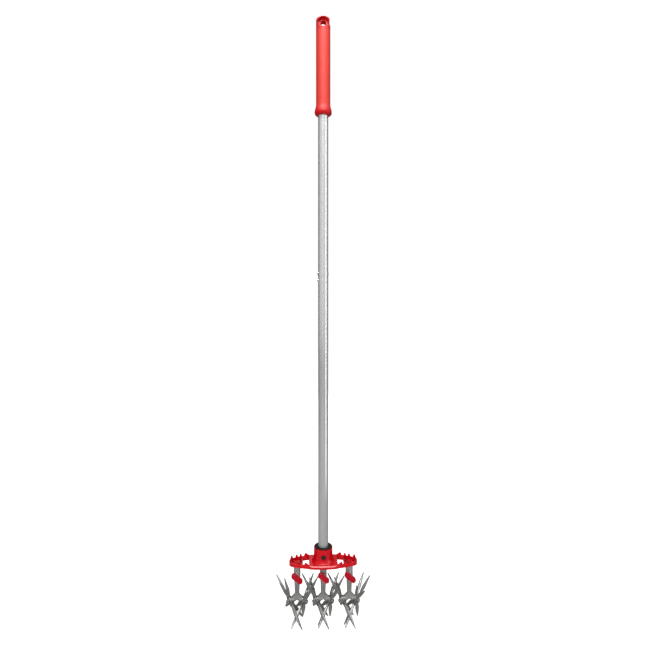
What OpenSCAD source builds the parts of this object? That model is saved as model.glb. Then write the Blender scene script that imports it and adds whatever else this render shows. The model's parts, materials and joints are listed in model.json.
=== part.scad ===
// Rotary hand cultivator: a long two-piece pole with a grip, and a head of six star wheels in three V pairs.
// Millimetres, +Z up. The origin is on the ground below the pole, and the front is -Y.

/* [Pole] */
// Height from the ground to the top of the grip
overall_length = 1371.5; // [1200:0.5:1500]
// Outside diameter of the tubes
tube_d = 23; // [21:0.5:25]
// Wall of the tubes
tube_wall = 1.2; // [0.9:0.1:1.6]
// Height of the joint between the two tubes
tube_joint_z = 790; // [600:1:950]
// How much the mouth of the upper tube is swelled, on the radius
tube_lip = 0.5; // [0.2:0.1:1]
// Height of the swelled mouth
tube_lip_h = 9; // [9:1:14]
// Length of the sleeve inside the joint
coupler_length = 104; // [90:1:140]
// Wall of the sleeve inside the joint
coupler_wall = 1.2; // [0.9:0.1:1.6]

/* [Snap buttons] */
// Diameter of a snap button
button_d = 6; // [5:0.5:7]
// How far a button stands out of the tube
button_out = 1.6; // [1:0.1:2]
// Height of the upper button above the joint
upper_button_rise = 6; // [5:0.5:8]
// Depth of the lower button below the joint
lower_button_drop = 9.5; // [6:0.5:12]
// Thickness of a button's inner flange
button_flange_t = 1.2; // [0.8:0.1:1.6]
// Width of a leaf spring
leaf_w = 5; // [4:0.5:6]
// Thickness of a leaf spring
leaf_t = 0.8; // [0.5:0.1:1]
// Length of a leaf spring's legs
leaf_length = 36; // [30:1:40]

/* [Grip] */
// Length of the grip
grip_length = 219.5; // [180:0.5:260]
// Diameter of the grip
grip_d = 32.4; // [30:0.2:36]
// Diameter of the collar at the grip's lower end
collar_d = 39; // [36:0.5:44]
// How far the collar tucks in at its lower edge
collar_tuck = 5; // [3:0.5:6]
// Height of the collar's tuck
collar_tuck_h = 6.5; // [4:0.5:9]
// Height of the flare from the collar to the grip
collar_flare = 18; // [12:1:25]
// Rounding of the grip's top corners
grip_round = 5; // [4:0.5:8]
// Radius of the hanging hole
hang_r = 6; // [4:0.5:7]
// Depth of the hanging hole's centre below the top
hang_drop = 14.5; // [14:0.5:18]
// Radius of the dish around the hanging hole
dish_r = 12.5; // [10:0.5:13]
// Thickness left between the two dishes
tab_t = 15.5; // [12:0.5:17]
// Depth of the small step on the right of the tab
tab_step = 2.2; // [1:0.1:3]
// Solid height between the tube's end and the dishes
grip_plug = 6; // [4:1:12]

/* [Head frame] */
// Length of the frame
frame_length = 153.5; // [146:0.5:165]
// Depth of the frame in the middle
frame_depth = 48; // [46:1:54]
// Depth at which the front and back arcs would meet the ends
frame_end_depth = 16; // [12:1:22]
// Radius of the rounded ends
frame_end_r = 12.6; // [10:0.2:14]
// Height of the underside above the ground
frame_z = 139.2; // [135:0.2:150]
// Height of the frame's back wall
back_wall_h = 10.5; // [9:0.5:14]
// Height of the frame's front wall
front_wall_h = 7; // [6:0.5:9]
// Wall round the windows and pockets
frame_wall = 3.2; // [2:0.1:4]
// Floor of the end pockets
pocket_floor = 3; // [2:0.5:4]
// Half length of the solid middle block
block_half = 32; // [28:1:34]
// Distance from the middle to the outer edge of each window
window_end = 46; // [42:1:48]
// Wall between a window and its end pocket
divider_t = 2.6; // [2:0.1:4]
// Height of the teeth on the rims
tooth_h = 5.6; // [3:0.2:6]
// Width of a tooth at its foot
tooth_foot = 6.4; // [5:0.2:8]
// Width of a tooth at its tip
tooth_tip = 1.8; // [1:0.1:3]
// Run of the ramp on the tooth nearest the middle
tooth_ramp = 6; // [3:0.5:8]
// Thickness of the ribs in the end pockets
rib_t = 2.6; // [2:0.2:4]
// Drop of the ribs below the rim
rib_drop = 2; // [1:0.5:4]
// Radius of the boss over each end post
post_boss_r = 6.5; // [5:0.5:7.5]

/* [Socket] */
// Outside radius of the socket
socket_r = 21.1; // [20:0.1:22]
// Height of the socket's rim above the frame's underside
socket_h = 40; // [36:0.5:50]
// Solid floor under the tube
socket_floor = 9; // [6:0.5:10]
// Width of the curved skirt round the socket's foot
skirt_w = 10; // [6:0.5:10.5]
// Height of the curved skirt
skirt_h = 11; // [6:0.5:12]
// Outside radius of the bushing
bushing_r = 16.4; // [15:0.1:17]
// Radius of the bushing's flange on the socket's rim
bushing_flange_r = 19.4; // [18:0.1:20]
// Height of the bushing's flange below its rounded top
bushing_flange_h = 1.4; // [0.6:0.2:2]
// Height of the bushing's rounded top
bushing_dome = 0.8; // [0.6:0.2:4]
// Height of the handle bolt above the frame's underside
bolt_rise = 24; // [22:1:28]
// Diameter of the handle bolt
bolt_d = 5; // [4:0.5:6]
// Diameter of the bolt head
bolt_head_d = 9; // [8:0.5:10]
// Height of the bolt head
bolt_head_h = 2.4; // [2:0.1:3]
// Width across the flats of the nut
nut_af = 8; // [7:0.5:10]
// Height of the nut
nut_h = 2.7; // [2:0.1:3]
// Depth of the screw recess and of the nut pocket
recess_depth = 3.2; // [2.5:0.1:3.6]
// Diameter of the screw recess
recess_d = 11.5; // [11:0.5:13]

/* [Carriers] */
// Distance between the carriers
carrier_pitch = 59; // [58:1:62]
// Width of the sleeve
sleeve_w = 15.5; // [14.5:0.5:16]
// Wall of the sleeve in front of the post
nose_t = 6; // [5:0.5:8]
// Back of the sleeve, from the carrier's axis
sleeve_back = 8.5; // [8:0.5:10]
// Length of the sleeve, down from the frame
sleeve_h = 36; // [34:1:38]
// Width of a post
post_w = 10.5; // [9:0.5:11]
// Depth of a post
post_d = 10; // [9:0.5:11]
// Length of a post
post_h = 28; // [25:1:29]
// Radius of the shank at the sleeve
shank_top_r = 6.3; // [5.5:0.1:7]
// Radius of the shank at the saddle
shank_foot_r = 5; // [4.5:0.1:5.5]
// Width of the groove in the shank's front
groove_w = 2.6; // [2:0.2:4]
// Depth of the groove in the shank's front
groove_depth = 2; // [1:0.2:3]
// Depth of the saddle, front to back
saddle_d = 8.5; // [8:0.5:12]
// Height of the saddle's top above the point where the axles meet
saddle_rise = 7.4; // [6:0.2:12]
// Radius of an axle boss
boss_r = 6.2; // [5.6:0.1:6.4]

/* [Locks] */
// Depth of a lock pin below the frame's underside
lock_drop = 19.5; // [18:0.5:21]
// Diameter of a lock pin
pin_d = 5; // [4:0.5:5.5]
// How deep the pin enters the post
pin_engage = 4; // [2.5:0.5:4]
// How far the knob pulls out
lock_travel = 6; // [4:0.5:6]
// Radius of the spring chamber
chamber_r = 4.8; // [4.6:0.1:5.2]
// Wall in front of the spring chamber
chamber_wall = 2; // [1.5:0.5:2.5]
// Height of a lock spring pressed flat
spring_block_h = 5; // [4:0.5:6]
// Thickness of the pin's collar
pin_collar_t = 1.4; // [1:0.2:2]
// Length of the oval knob
knob_length = 29; // [24:0.5:30]
// Width of the oval knob
knob_w = 11.6; // [11:0.2:13]
// Thickness of the oval knob
knob_t = 6.4; // [6:0.2:8]
// Rim round the knob's recessed face
knob_rim = 1.8; // [1.2:0.2:2.5]
// Depth of the knob's recessed face
knob_recess = 1.6; // [1:0.2:2.5]
// Tilt of the oval knob
knob_tilt = 39; // [30:1:55]

/* [Star wheels] */
// Radius from the axle to the tine tips
tip_r = 63.5; // [60:0.5:64]
// Lean of the wheels, top outward
wheel_tilt = 28; // [27:0.5:29]
// Toe of the wheels, back outward
wheel_toe = 7; // [6:0.5:8]
// Distance from the carrier's axis to a wheel's centre
wheel_offset = 15.5; // [15:0.1:16]
// Tines on each star
star_tines = 4; // [3:1:4]
// Radius of a star's disc
disc_r = 13; // [11:0.5:14]
// Thickness of a star
star_t = 3; // [2.4:0.2:3.2]
// Gap between the two stars of a wheel
star_gap = 0.6; // [0.6:0.1:1.2]
// Width of a tine at the disc
tine_root_w = 7.6; // [6:0.2:8]
// Width of a tine where its taper quickens
tine_mid_w = 6; // [4:0.2:6.6]
// Width of a tine at its tip
tine_tip_w = 2; // [1:0.2:3]
// Thickness of a tine a little way out from the disc
tine_mid_t = 6.4; // [4:0.2:6.6]
// Thickness of a tine at its tip
tine_tip_t = 2; // [1:0.2:3]
// How far the outer star's tips lean outward
outer_splay = 1; // [0.5:0.1:1.5]
// How far the inner star's tips lean inward
inner_splay = 1; // [0.5:0.1:1.5]
// Diameter of a stub axle
axle_d = 8; // [7:0.5:8.5]
// How far an axle reaches into the carrier, from the wheel's centre
axle_reach = 14.5; // [13:0.5:14.5]
// Distance from the wheel's centre to the carrier's boss
boss_gap = 7; // [6.5:0.1:7.4]
// Radius of the hub's barrel through the stars
barrel_r = 6; // [5.6:0.1:6.6]
// Radius of the hub's flange and rolled lip
flange_r = 8; // [7.5:0.1:9]
// Thickness of the hub's rolled lip
lip_t = 1.6; // [1:0.1:2]
// Radius of an axle cap
cap_r = 5; // [4.8:0.1:5.6]
// Height of an axle cap
cap_h = 4.6; // [4:0.2:6]

/* [Fits] */
// Gap round a running shaft
fit_gap = 0.05; // [0.03:0.01:0.09]
// Gap round a pressed shaft
press_gap = 0.02; // [0.01:0.01:0.03]
// Gap between pieces that move past each other
run_gap = 0.3; // [0.25:0.05:0.4]
// Gap where a fixed piece is seated
seat_gap = 0.1; // [0.05:0.01:0.15]

/* [Hidden] */
$fn = 48;
// Overrun of every cut past the face that it leaves
cut_over = 1;

tube_r = tube_d / 2;
tube_bore_r = tube_r - tube_wall;
tube_foot_z = frame_z + socket_floor;
coupler_r = tube_bore_r - press_gap;
coupler_bore_r = coupler_r - coupler_wall;
coupler_z = tube_joint_z - coupler_length / 2;

button_r = button_d / 2;
button_hole_r = button_r + run_gap;
button_flange_r = button_r + tube_wall;
button_dome_share = 0.6;
upper_button_z = tube_joint_z + upper_button_rise;
lower_button_z = tube_joint_z - lower_button_drop;
// The flange's rim stays a running gap inside the round bore of the sleeve
button_flange_x = sqrt(pow(coupler_bore_r - run_gap, 2) - pow(button_flange_r, 2));
button_length = tube_r + tube_lip + button_out - button_flange_x + button_flange_t;
leaf_front_x = button_flange_x - button_flange_t - seat_gap;
leaf_back_x = sqrt(pow(coupler_bore_r - seat_gap, 2) - pow(leaf_w / 2, 2));

grip_z = overall_length - grip_length;
grip_r = grip_d / 2;
collar_r = collar_d / 2;
hang_z = overall_length - hang_drop;
upper_tube_top_z = hang_z - dish_r - grip_plug;
tab_step_rise_share = 0.2;
flare_steps = 8;

front_top_z = frame_z + front_wall_h;
back_top_z = frame_z + back_wall_h;
frame_half = frame_length / 2;
frame_sag = (frame_depth - frame_end_depth) / 2;
frame_arc_r = (pow(frame_half, 2) + pow(frame_sag, 2)) / (2 * frame_sag);
frame_arc_y = frame_arc_r - frame_depth / 2;
frame_end_x = frame_half - frame_end_r;
pocket_start = window_end + divider_t;
// Places of the teeth along each half of the rim, as shares of the half length
tooth_shares = [0.523, 0.66, 0.78, 0.93];
rib_turns = [35, -35];

socket_top_z = frame_z + socket_h;
bolt_z = frame_z + bolt_rise;
recess_y = socket_r - recess_depth;
skirt_step = 15;
dome_step = 15;

carrier_xs = [-carrier_pitch, 0, carrier_pitch];
sleeve_top_z = frame_z - seat_gap;
sleeve_foot_z = frame_z - sleeve_h;
sleeve_r = sleeve_w / 2;
sleeve_shelf_share = 0.22;
lock_z = frame_z - lock_drop;
post_foot_z = frame_z - post_h;
post_hole_r = pin_d / 2 + run_gap;
cavity_front = post_d / 2 + seat_gap;
// The chamber holds the collar, its travel and the flattened spring
chamber_depth = seat_gap + pin_collar_t + lock_travel + spring_block_h;
// Fronts of the sleeve and of the round lock boss, from the carrier's axis
sleeve_front = cavity_front + nose_t;
lock_front = cavity_front + chamber_depth + chamber_wall;
lock_boss_r = chamber_r + chamber_wall;

pin_r = pin_d / 2;
pin_collar_r = chamber_r - run_gap;
pin_collar_y = -cavity_front - seat_gap;
chamber_front_y = chamber_wall - lock_front;
knob_back_y = -lock_front - run_gap;
knob_front_y = knob_back_y - knob_t;
knob_grip_share = 0.6;
knob_end_x = (knob_length - knob_w) / 2;

tine_pitch = 360 / star_tines;
// Distance from the wheel's centre to the outer face of either star's disc
star_face = star_gap / 2 + star_t;
// Distance from the wheel's centre to the middle of either star's disc
star_mid = (star_gap + star_t) / 2;
// Turn from straight up to the place where a tine reaches furthest out
outward_turn = atan2(sin(wheel_toe), sin(wheel_tilt) * cos(wheel_toe));
// The left wheels stand half a step past that turn and the right wheels half a step short of it
half_step = tine_pitch / 8;
left_turn = outward_turn + half_step;
right_turn = outward_turn - half_step;
// Distance along the axle from a wheel's centre to the outer side of a tine tip
tip_side = outer_splay + star_mid + tine_tip_t / 2;
// The lowest tine tips lie on the ground at rest
wheel_z = tip_r * cos(right_turn) * cos(wheel_tilt) + tip_side * sin(wheel_tilt);
axle_meet_z = wheel_z + wheel_offset * tan(wheel_tilt);
// Distance along the axle from a wheel's centre to the middle of its carrier
arm_reach = wheel_offset / cos(wheel_tilt) / cos(wheel_toe);
saddle_top_z = axle_meet_z + saddle_rise;
// The saddle's flat ends stay behind the toed faces of the bosses
saddle_gap = boss_gap + saddle_d / 2 * tan(wheel_toe);
shoulder_x = wheel_offset - saddle_gap * cos(wheel_tilt) + boss_r * sin(wheel_tilt);
shoulder_z = wheel_z + saddle_gap * sin(wheel_tilt) + boss_r * cos(wheel_tilt);
saddle_arch_share = 0.65;
groove_top_share = 0.86;
groove_foot_share = 0.1;

axle_r = axle_d / 2;
hub_in = boss_gap - run_gap;
hub_out = star_face + lip_t;
cap_in = hub_out + run_gap;
cap_bore_share = 0.65;
tine_root_share = 0.15;
tine_mid_share = 0.55;
tine_swell_share = 0.35;

PAIRS = ["left", "centre", "right"];
SIDES = ["left", "right"];

// A plain tube between two heights
module pipe(outer_r, inner_r, low_z, high_z) {
    translate([0, 0, low_z]) difference() {
        cylinder(r = outer_r, h = high_z - low_z);
        translate([0, 0, -cut_over]) cylinder(r = inner_r, h = high_z - low_z + 2 * cut_over);
    }
}

// A rod along Y at a height, from y_low to y_high
module rod_y(r, y_low, y_high, z) {
    translate([0, y_high, z]) rotate([90, 0, 0]) cylinder(r = r, h = y_high - y_low);
}

// A rod from the pole's axis out to the left
module rod_left(r, length, z) {
    translate([0, 0, z]) rotate([0, -90, 0]) cylinder(r = r, h = length);
}

// A block given by its two corners
module block(low, high) {
    translate(low) cube(high - low);
}

// An outline in X and Z, extruded evenly to the front and the back
module slab_xz(points, depth) {
    translate([0, depth / 2, 0]) rotate([90, 0, 0]) linear_extrude(depth) polygon(points);
}

// An outline in Y and Z, extruded evenly to both sides
module slab_yz(points, width) {
    translate([-width / 2, 0, 0]) rotate([90, 0, 90]) linear_extrude(width) polygon(points);
}

// The hole of each snap button through the tubes
module button_holes() {
    for (z = [lower_button_z, upper_button_z]) rod_left(button_hole_r, tube_r + tube_lip + cut_over, z);
}

module grip_profile() {
    rotate_extrude() polygon(concat(
        [[0, grip_z]],
        [
            for (a = [0 : dome_step : 90])
                [collar_r - collar_tuck * (1 - sin(a)), grip_z + collar_tuck_h * (1 - cos(a))]
        ],
        [
            for (i = [1 : flare_steps])
                let (share = i / flare_steps)
                [
                    grip_r + (collar_r - grip_r) * (1 + cos(180 * share)) / 2,
                    grip_z + collar_tuck_h + collar_flare * share
                ]
        ],
        [
            for (a = [0 : dome_step : 90])
                [grip_r - grip_round * (1 - cos(a)), overall_length - grip_round * (1 - sin(a))]
        ],
        [[0, overall_length]]
    ));
}

module grip() {
    color("red") difference() {
        grip_profile();
        translate([0, 0, grip_z - cut_over])
            cylinder(r = tube_r + press_gap, h = upper_tube_top_z + seat_gap - grip_z + cut_over);
        rod_y(hang_r, -grip_r - cut_over, grip_r + cut_over, hang_z);
        for (turn = [0, 180])
            rotate([0, 0, turn]) rod_y(dish_r, tab_t / 2, grip_r + cut_over, hang_z);
        block(
            [grip_r - tab_step, -grip_r, hang_z - hang_drop * tab_step_rise_share],
            [grip_r + cut_over, grip_r, overall_length + cut_over]
        );
    }
}

module upper_tube() {
    color("silver") difference() {
        union() {
            pipe(tube_r, tube_bore_r, tube_joint_z, upper_tube_top_z);
            pipe(tube_r + tube_lip, tube_bore_r, tube_joint_z, tube_joint_z + tube_lip_h);
        }
        button_holes();
    }
}

module lower_tube() {
    color("silver") difference() {
        pipe(tube_r, tube_bore_r, tube_foot_z + seat_gap, tube_joint_z);
        button_holes();
        rod_y(bolt_d / 2 + seat_gap, -tube_r - cut_over, tube_r + cut_over, bolt_z);
    }
}

module tube_coupler() {
    color("dimgray") difference() {
        pipe(coupler_r, coupler_bore_r, coupler_z, coupler_z + coupler_length);
        button_holes();
    }
}

// A snap button with a domed head outside and a flange inside
module snap_button(z) {
    dome_h = button_out * button_dome_share;
    color("dimgray") translate([-button_flange_x + button_flange_t, 0, z]) rotate([0, -90, 0])
        rotate_extrude() polygon(concat(
            [[0, 0], [button_flange_r, 0], [button_flange_r, button_flange_t], [button_r, button_flange_t]],
            [
                for (a = [0 : dome_step : 90])
                    [button_r * cos(a), button_length - dome_h * (1 - sin(a))]
            ]
        ));
}

module upper_button() {
    snap_button(upper_button_z);
}

module lower_button() {
    snap_button(lower_button_z);
}

// A leaf spring bent into a U, one leg behind its button and one on the far wall of the sleeve
module leaf_spring(z, up) {
    far_z = z + up * leaf_length;
    near_z = z - up * button_r;
    color("gray") slab_xz([
        [-leaf_front_x, near_z],
        [-leaf_front_x + leaf_t, near_z],
        [-leaf_front_x + leaf_t, far_z - up * leaf_t],
        [leaf_back_x - leaf_t, far_z - up * leaf_t],
        [leaf_back_x - leaf_t, near_z],
        [leaf_back_x, near_z],
        [leaf_back_x, far_z],
        [-leaf_front_x, far_z]
    ], leaf_w);
}

module upper_button_spring() {
    leaf_spring(upper_button_z, 1);
}

module lower_button_spring() {
    leaf_spring(lower_button_z, -1);
}

module tube_bushing() {
    flange_z = socket_top_z + seat_gap;
    dome_z = flange_z + bushing_flange_h;
    dome_r = (bushing_flange_r - tube_r - press_gap) / 2;
    color("black") difference() {
        rotate_extrude() polygon(concat(
            [
                [tube_r + press_gap, tube_foot_z + seat_gap],
                [bushing_r, tube_foot_z + seat_gap],
                [bushing_r, flange_z],
                [bushing_flange_r, flange_z]
            ],
            [
                for (a = [0 : dome_step : 180])
                    [bushing_flange_r - dome_r * (1 - cos(a)), dome_z + bushing_dome * sin(a)]
            ]
        ));
        rod_y(bolt_d / 2 + seat_gap, -bushing_r - cut_over, bushing_r + cut_over, bolt_z);
    }
}

// The frame's boat-shaped plan between two heights, drawn in from the outline by an inset
module boat(inset, low_z, high_z) {
    translate([0, 0, low_z]) intersection() {
        translate([0, frame_arc_y, 0]) cylinder(r = frame_arc_r - inset, h = high_z - low_z, $fn = 180);
        translate([0, -frame_arc_y, 0]) cylinder(r = frame_arc_r - inset, h = high_z - low_z, $fn = 180);
        union() {
            block([-frame_end_x, -frame_depth, 0], [frame_end_x, frame_depth, high_z - low_z]);
            for (x = [-frame_end_x, frame_end_x])
                translate([x, 0, 0]) cylinder(r = frame_end_r - inset, h = high_z - low_z);
        }
    }
}

// The solid below the rims, whose top slopes up from the front wall to the back wall, less a drop
module below_rims(drop) {
    slab_yz([
        [-frame_depth / 2, frame_z],
        [frame_depth / 2, frame_z],
        [frame_depth / 2, back_top_z - drop],
        [-frame_depth / 2, front_top_z - drop]
    ], frame_length);
}

// The teeth on the rims of both ends, at the front or the back, above a wall of the given height
module rim_teeth(front, top_z) {
    foot_z = frame_z + pocket_floor;
    tip_z = top_z + tooth_h;
    near_y = front ? -frame_depth / 2 : 0;
    difference() {
        intersection() {
            boat(0, foot_z, tip_z);
            block([-frame_half, near_y, foot_z], [frame_half, near_y + frame_depth / 2, tip_z]);
            for (side = [-1, 1], i = [0 : len(tooth_shares) - 1])
                let (x = tooth_shares[i] * frame_half, ramp = i == 0 ? tooth_ramp : 0)
                slab_xz([
                    [side * (x - tooth_foot / 2 - ramp), foot_z],
                    [side * (x + tooth_foot / 2), foot_z],
                    [side * (x + tooth_foot / 2), top_z],
                    [side * (x + tooth_tip / 2), tip_z],
                    [side * (x - tooth_tip / 2), tip_z],
                    [side * (x - tooth_foot / 2 - ramp), top_z]
                ], 2 * frame_depth);
        }
        boat(frame_wall, foot_z - cut_over, tip_z + cut_over);
    }
}

// The boss over each end post and the ribs that cross it
module pocket_ribs() {
    low_z = frame_z + pocket_floor / 2;
    high_z = back_top_z;
    intersection() {
        below_rims(rib_drop);
        boat(frame_wall / 2, low_z, high_z);
        for (side = [-1, 1]) translate([side * carrier_pitch, 0, 0]) {
            translate([0, 0, low_z]) cylinder(r = post_boss_r, h = high_z - low_z);
            for (turn = rib_turns) rotate([0, 0, turn])
                block([-frame_depth, -rib_t / 2, low_z], [frame_depth, rib_t / 2, high_z]);
        }
        for (turn = [0, 180]) rotate([0, 0, turn])
            block([pocket_start - divider_t / 2, -frame_depth, low_z], [frame_half, frame_depth, high_z]);
    }
}

// The socket for the pole, with the curved skirt at its foot
module socket_body() {
    translate([0, 0, frame_z]) cylinder(r = socket_r, h = socket_h);
    intersection() {
        rotate_extrude() polygon(concat(
            [[0, frame_z + pocket_floor], [socket_r + skirt_w, frame_z + pocket_floor]],
            [
                for (a = [0 : skirt_step : 90])
                    [socket_r + skirt_w * (1 - sin(a)), front_top_z + skirt_h * (1 - cos(a))]
            ],
            [[0, front_top_z + skirt_h]]
        ));
        boat(0, frame_z, socket_top_z);
    }
}

// A cut inside the frame's wall on both sides, between two distances from the middle, down to a height
module frame_cut(near_x, far_x, low_z) {
    high_z = back_top_z + cut_over;
    intersection() {
        boat(frame_wall, low_z, high_z);
        for (turn = [0, 180]) rotate([0, 0, turn])
            block([near_x, -frame_depth, low_z], [far_x, frame_depth, high_z]);
    }
}

module head_frame() {
    color("red") difference() {
        union() {
            difference() {
                intersection() {
                    boat(0, frame_z, back_top_z);
                    below_rims(0);
                }
                frame_cut(block_half, window_end, frame_z - cut_over);
                frame_cut(pocket_start, frame_half, frame_z + pocket_floor);
            }
            rim_teeth(true, front_top_z);
            rim_teeth(false, back_top_z);
            pocket_ribs();
            socket_body();
            for (x = carrier_xs) block(
                [x - post_w / 2, -post_d / 2, post_foot_z],
                [x + post_w / 2, post_d / 2, frame_z + pocket_floor / 2]
            );
        }
        translate([0, 0, tube_foot_z])
            cylinder(r = bushing_r + press_gap, h = socket_top_z - tube_foot_z + cut_over);
        rod_y(bolt_d / 2 + seat_gap, -socket_r - cut_over, socket_r + cut_over, bolt_z);
        rod_y(recess_d / 2, -frame_depth, -recess_y, bolt_z);
        rotate([0, 0, 180]) hex_rod(nut_af / 2 + seat_gap, recess_y, frame_depth);
        for (x = carrier_xs)
            translate([x, 0, 0]) rod_y(post_hole_r, -post_d, post_d, lock_z);
    }
}

// A six-sided rod along -Y at the height of the handle bolt
module hex_rod(half_af, start, end) {
    translate([0, -start, bolt_z]) rotate([90, 0, 0])
        cylinder(r = half_af / cos(30), h = end - start, $fn = 6);
}

module handle_bolt() {
    slot_w = bolt_head_h / 2;
    color("dimgray") difference() {
        union() {
            rod_y(bolt_d / 2, -recess_y - seat_gap, recess_y + nut_h, bolt_z);
            rod_y(bolt_head_d / 2, -recess_y - bolt_head_h, -recess_y - seat_gap, bolt_z);
        }
        for (turn = [0, 90]) translate([0, 0, bolt_z]) rotate([0, turn, 0])
            block(
                [-bolt_d / 2, -recess_y - bolt_head_h - cut_over, -slot_w / 2],
                [bolt_d / 2, -recess_y - bolt_head_h / 2, slot_w / 2]
            );
    }
}

module handle_nut() {
    color("dimgray") difference() {
        rotate([0, 0, 180]) hex_rod(nut_af / 2, recess_y + seat_gap, recess_y + nut_h);
        rod_y(bolt_d / 2 + press_gap, 0, socket_r + cut_over, bolt_z);
    }
}

// The sleeve that slides over a post, round at the front
module sleeve_body() {
    nose_y = sleeve_r - sleeve_front;
    shelf_z = sleeve_foot_z + sleeve_h * sleeve_shelf_share;
    intersection() {
        union() {
            translate([0, nose_y, sleeve_foot_z]) cylinder(r = sleeve_r, h = sleeve_top_z - sleeve_foot_z);
            block([-sleeve_r, nose_y, sleeve_foot_z], [sleeve_r, sleeve_back, sleeve_top_z]);
        }
        slab_xz([
            [-sleeve_r, sleeve_top_z],
            [-sleeve_r, shelf_z],
            [-shank_top_r, sleeve_foot_z],
            [shank_top_r, sleeve_foot_z],
            [sleeve_r, shelf_z],
            [sleeve_r, sleeve_top_z]
        ], 2 * sleeve_front);
        slab_yz([
            [-sleeve_front, sleeve_top_z],
            [-sleeve_front, shelf_z],
            [-shank_top_r, sleeve_foot_z],
            [shank_top_r, sleeve_foot_z],
            [sleeve_back, shelf_z],
            [sleeve_back, sleeve_top_z]
        ], sleeve_w);
    }
}

// The saddle that joins the shank to the two axle bosses
module saddle_body() {
    slab_xz([
        [-shank_foot_r, saddle_top_z],
        [shank_foot_r, saddle_top_z],
        [shoulder_x, shoulder_z],
        [shoulder_x - boss_r * sin(wheel_tilt), shoulder_z - boss_r * cos(wheel_tilt)],
        [0, axle_meet_z - boss_r * saddle_arch_share],
        [boss_r * sin(wheel_tilt) - shoulder_x, shoulder_z - boss_r * cos(wheel_tilt)],
        [-shoulder_x, shoulder_z]
    ], saddle_d);
    for (side = [-1, 1]) wheel_frame(0, side)
        translate([0, 0, -arm_reach]) cylinder(r = boss_r, h = arm_reach - boss_gap);
}

// Moves to a wheel's centre, with Z along its axle, outward from the carrier
module wheel_frame(x, side) {
    translate([x + side * wheel_offset, 0, wheel_z])
        rotate([0, 0, -side * wheel_toe])
        rotate([0, side * (90 + wheel_tilt), 0])
        children();
}

module carrier(x) {
    shank_h = sleeve_foot_z - saddle_top_z;
    color("darkgray") translate([x, 0, 0]) difference() {
        union() {
            sleeve_body();
            translate([0, 0, axle_meet_z])
                cylinder(r1 = shank_foot_r, r2 = shank_top_r, h = sleeve_foot_z - axle_meet_z);
            saddle_body();
            rod_y(lock_boss_r, -lock_front, 0, lock_z);
        }
        block(
            [-post_w / 2 - seat_gap, -cavity_front, post_foot_z - seat_gap],
            [post_w / 2 + seat_gap, cavity_front, frame_z]
        );
        rod_y(chamber_r, chamber_front_y, 0, lock_z);
        rod_y(pin_r + fit_gap, -lock_front - cut_over, 0, lock_z);
        block(
            [-groove_w / 2, -sleeve_front, saddle_top_z + shank_h * groove_foot_share],
            [groove_w / 2, groove_depth - shank_foot_r, saddle_top_z + shank_h * groove_top_share]
        );
        for (side = [-1, 1]) wheel_frame(0, side)
            translate([0, 0, -axle_reach - seat_gap]) cylinder(r = axle_r + press_gap, h = axle_reach);
    }
}

// A stadium across the knob, tilted, drawn in by an inset, from y_low to y_high
module knob_stadium(inset, y_low, y_high) {
    translate([0, 0, lock_z]) rotate([0, knob_tilt, 0]) {
        for (x = [-knob_end_x, knob_end_x])
            translate([x, 0, 0]) rod_y(knob_w / 2 - inset, y_low, y_high, 0);
        block([-knob_end_x, y_low, inset - knob_w / 2], [knob_end_x, y_high, knob_w / 2 - inset]);
    }
}

module lock_knob(x) {
    color("crimson") translate([x, 0, 0]) difference() {
        knob_stadium(0, knob_front_y, knob_back_y);
        knob_stadium(knob_rim, knob_front_y - cut_over, knob_front_y + knob_recess);
        rod_y(pin_r + press_gap, knob_back_y - knob_t * knob_grip_share - seat_gap, 0, lock_z);
    }
}

module lock_pin(x) {
    color("silver") translate([x, 0, 0]) {
        rod_y(pin_r, knob_back_y - knob_t * knob_grip_share, pin_engage - post_d / 2, lock_z);
        rod_y(pin_collar_r, pin_collar_y - pin_collar_t, pin_collar_y, lock_z);
    }
}

// The spring between the pin's collar and the front wall of its chamber, as a plain sleeve
module lock_spring(x) {
    y_low = chamber_front_y + seat_gap;
    y_high = pin_collar_y - pin_collar_t - seat_gap;
    color("gray") translate([x, 0, 0]) difference() {
        rod_y(chamber_r - run_gap, y_low, y_high, lock_z);
        rod_y(pin_r + run_gap, y_low - cut_over, y_high + cut_over, lock_z);
    }
}

module wheel_hub(x, side) {
    color("gray") wheel_frame(x, side) rotate_extrude() polygon([
        [axle_r + fit_gap, -hub_in],
        [flange_r, -hub_in],
        [flange_r, -star_face],
        [barrel_r, -star_face],
        [barrel_r, star_face],
        [flange_r, star_face],
        [flange_r, hub_out],
        [axle_r + fit_gap, hub_out]
    ]);
}

// One tapered tine that leaves the disc's rim and leans along the axle by its splay
module tine(splay) {
    span = tip_r - disc_r;
    lean = atan(splay / span);
    reach = span / cos(lean);
    root = disc_r * tine_root_share;
    translate([disc_r, 0, 0]) rotate([0, -lean, 0]) intersection() {
        translate([0, 0, -tine_mid_t / 2]) linear_extrude(tine_mid_t) polygon([
            [-root, -tine_root_w / 2],
            [0, -tine_root_w / 2],
            [reach * tine_mid_share, -tine_mid_w / 2],
            [reach, -tine_tip_w / 2],
            [reach, tine_tip_w / 2],
            [reach * tine_mid_share, tine_mid_w / 2],
            [0, tine_root_w / 2],
            [-root, tine_root_w / 2]
        ]);
        slab_xz([
            [-root, -star_t / 2],
            [0, -star_t / 2],
            [reach * tine_swell_share, -tine_mid_t / 2],
            [reach, -tine_tip_t / 2],
            [reach, tine_tip_t / 2],
            [reach * tine_swell_share, tine_mid_t / 2],
            [0, star_t / 2],
            [-root, star_t / 2]
        ], tine_root_w);
    }
}

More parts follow.
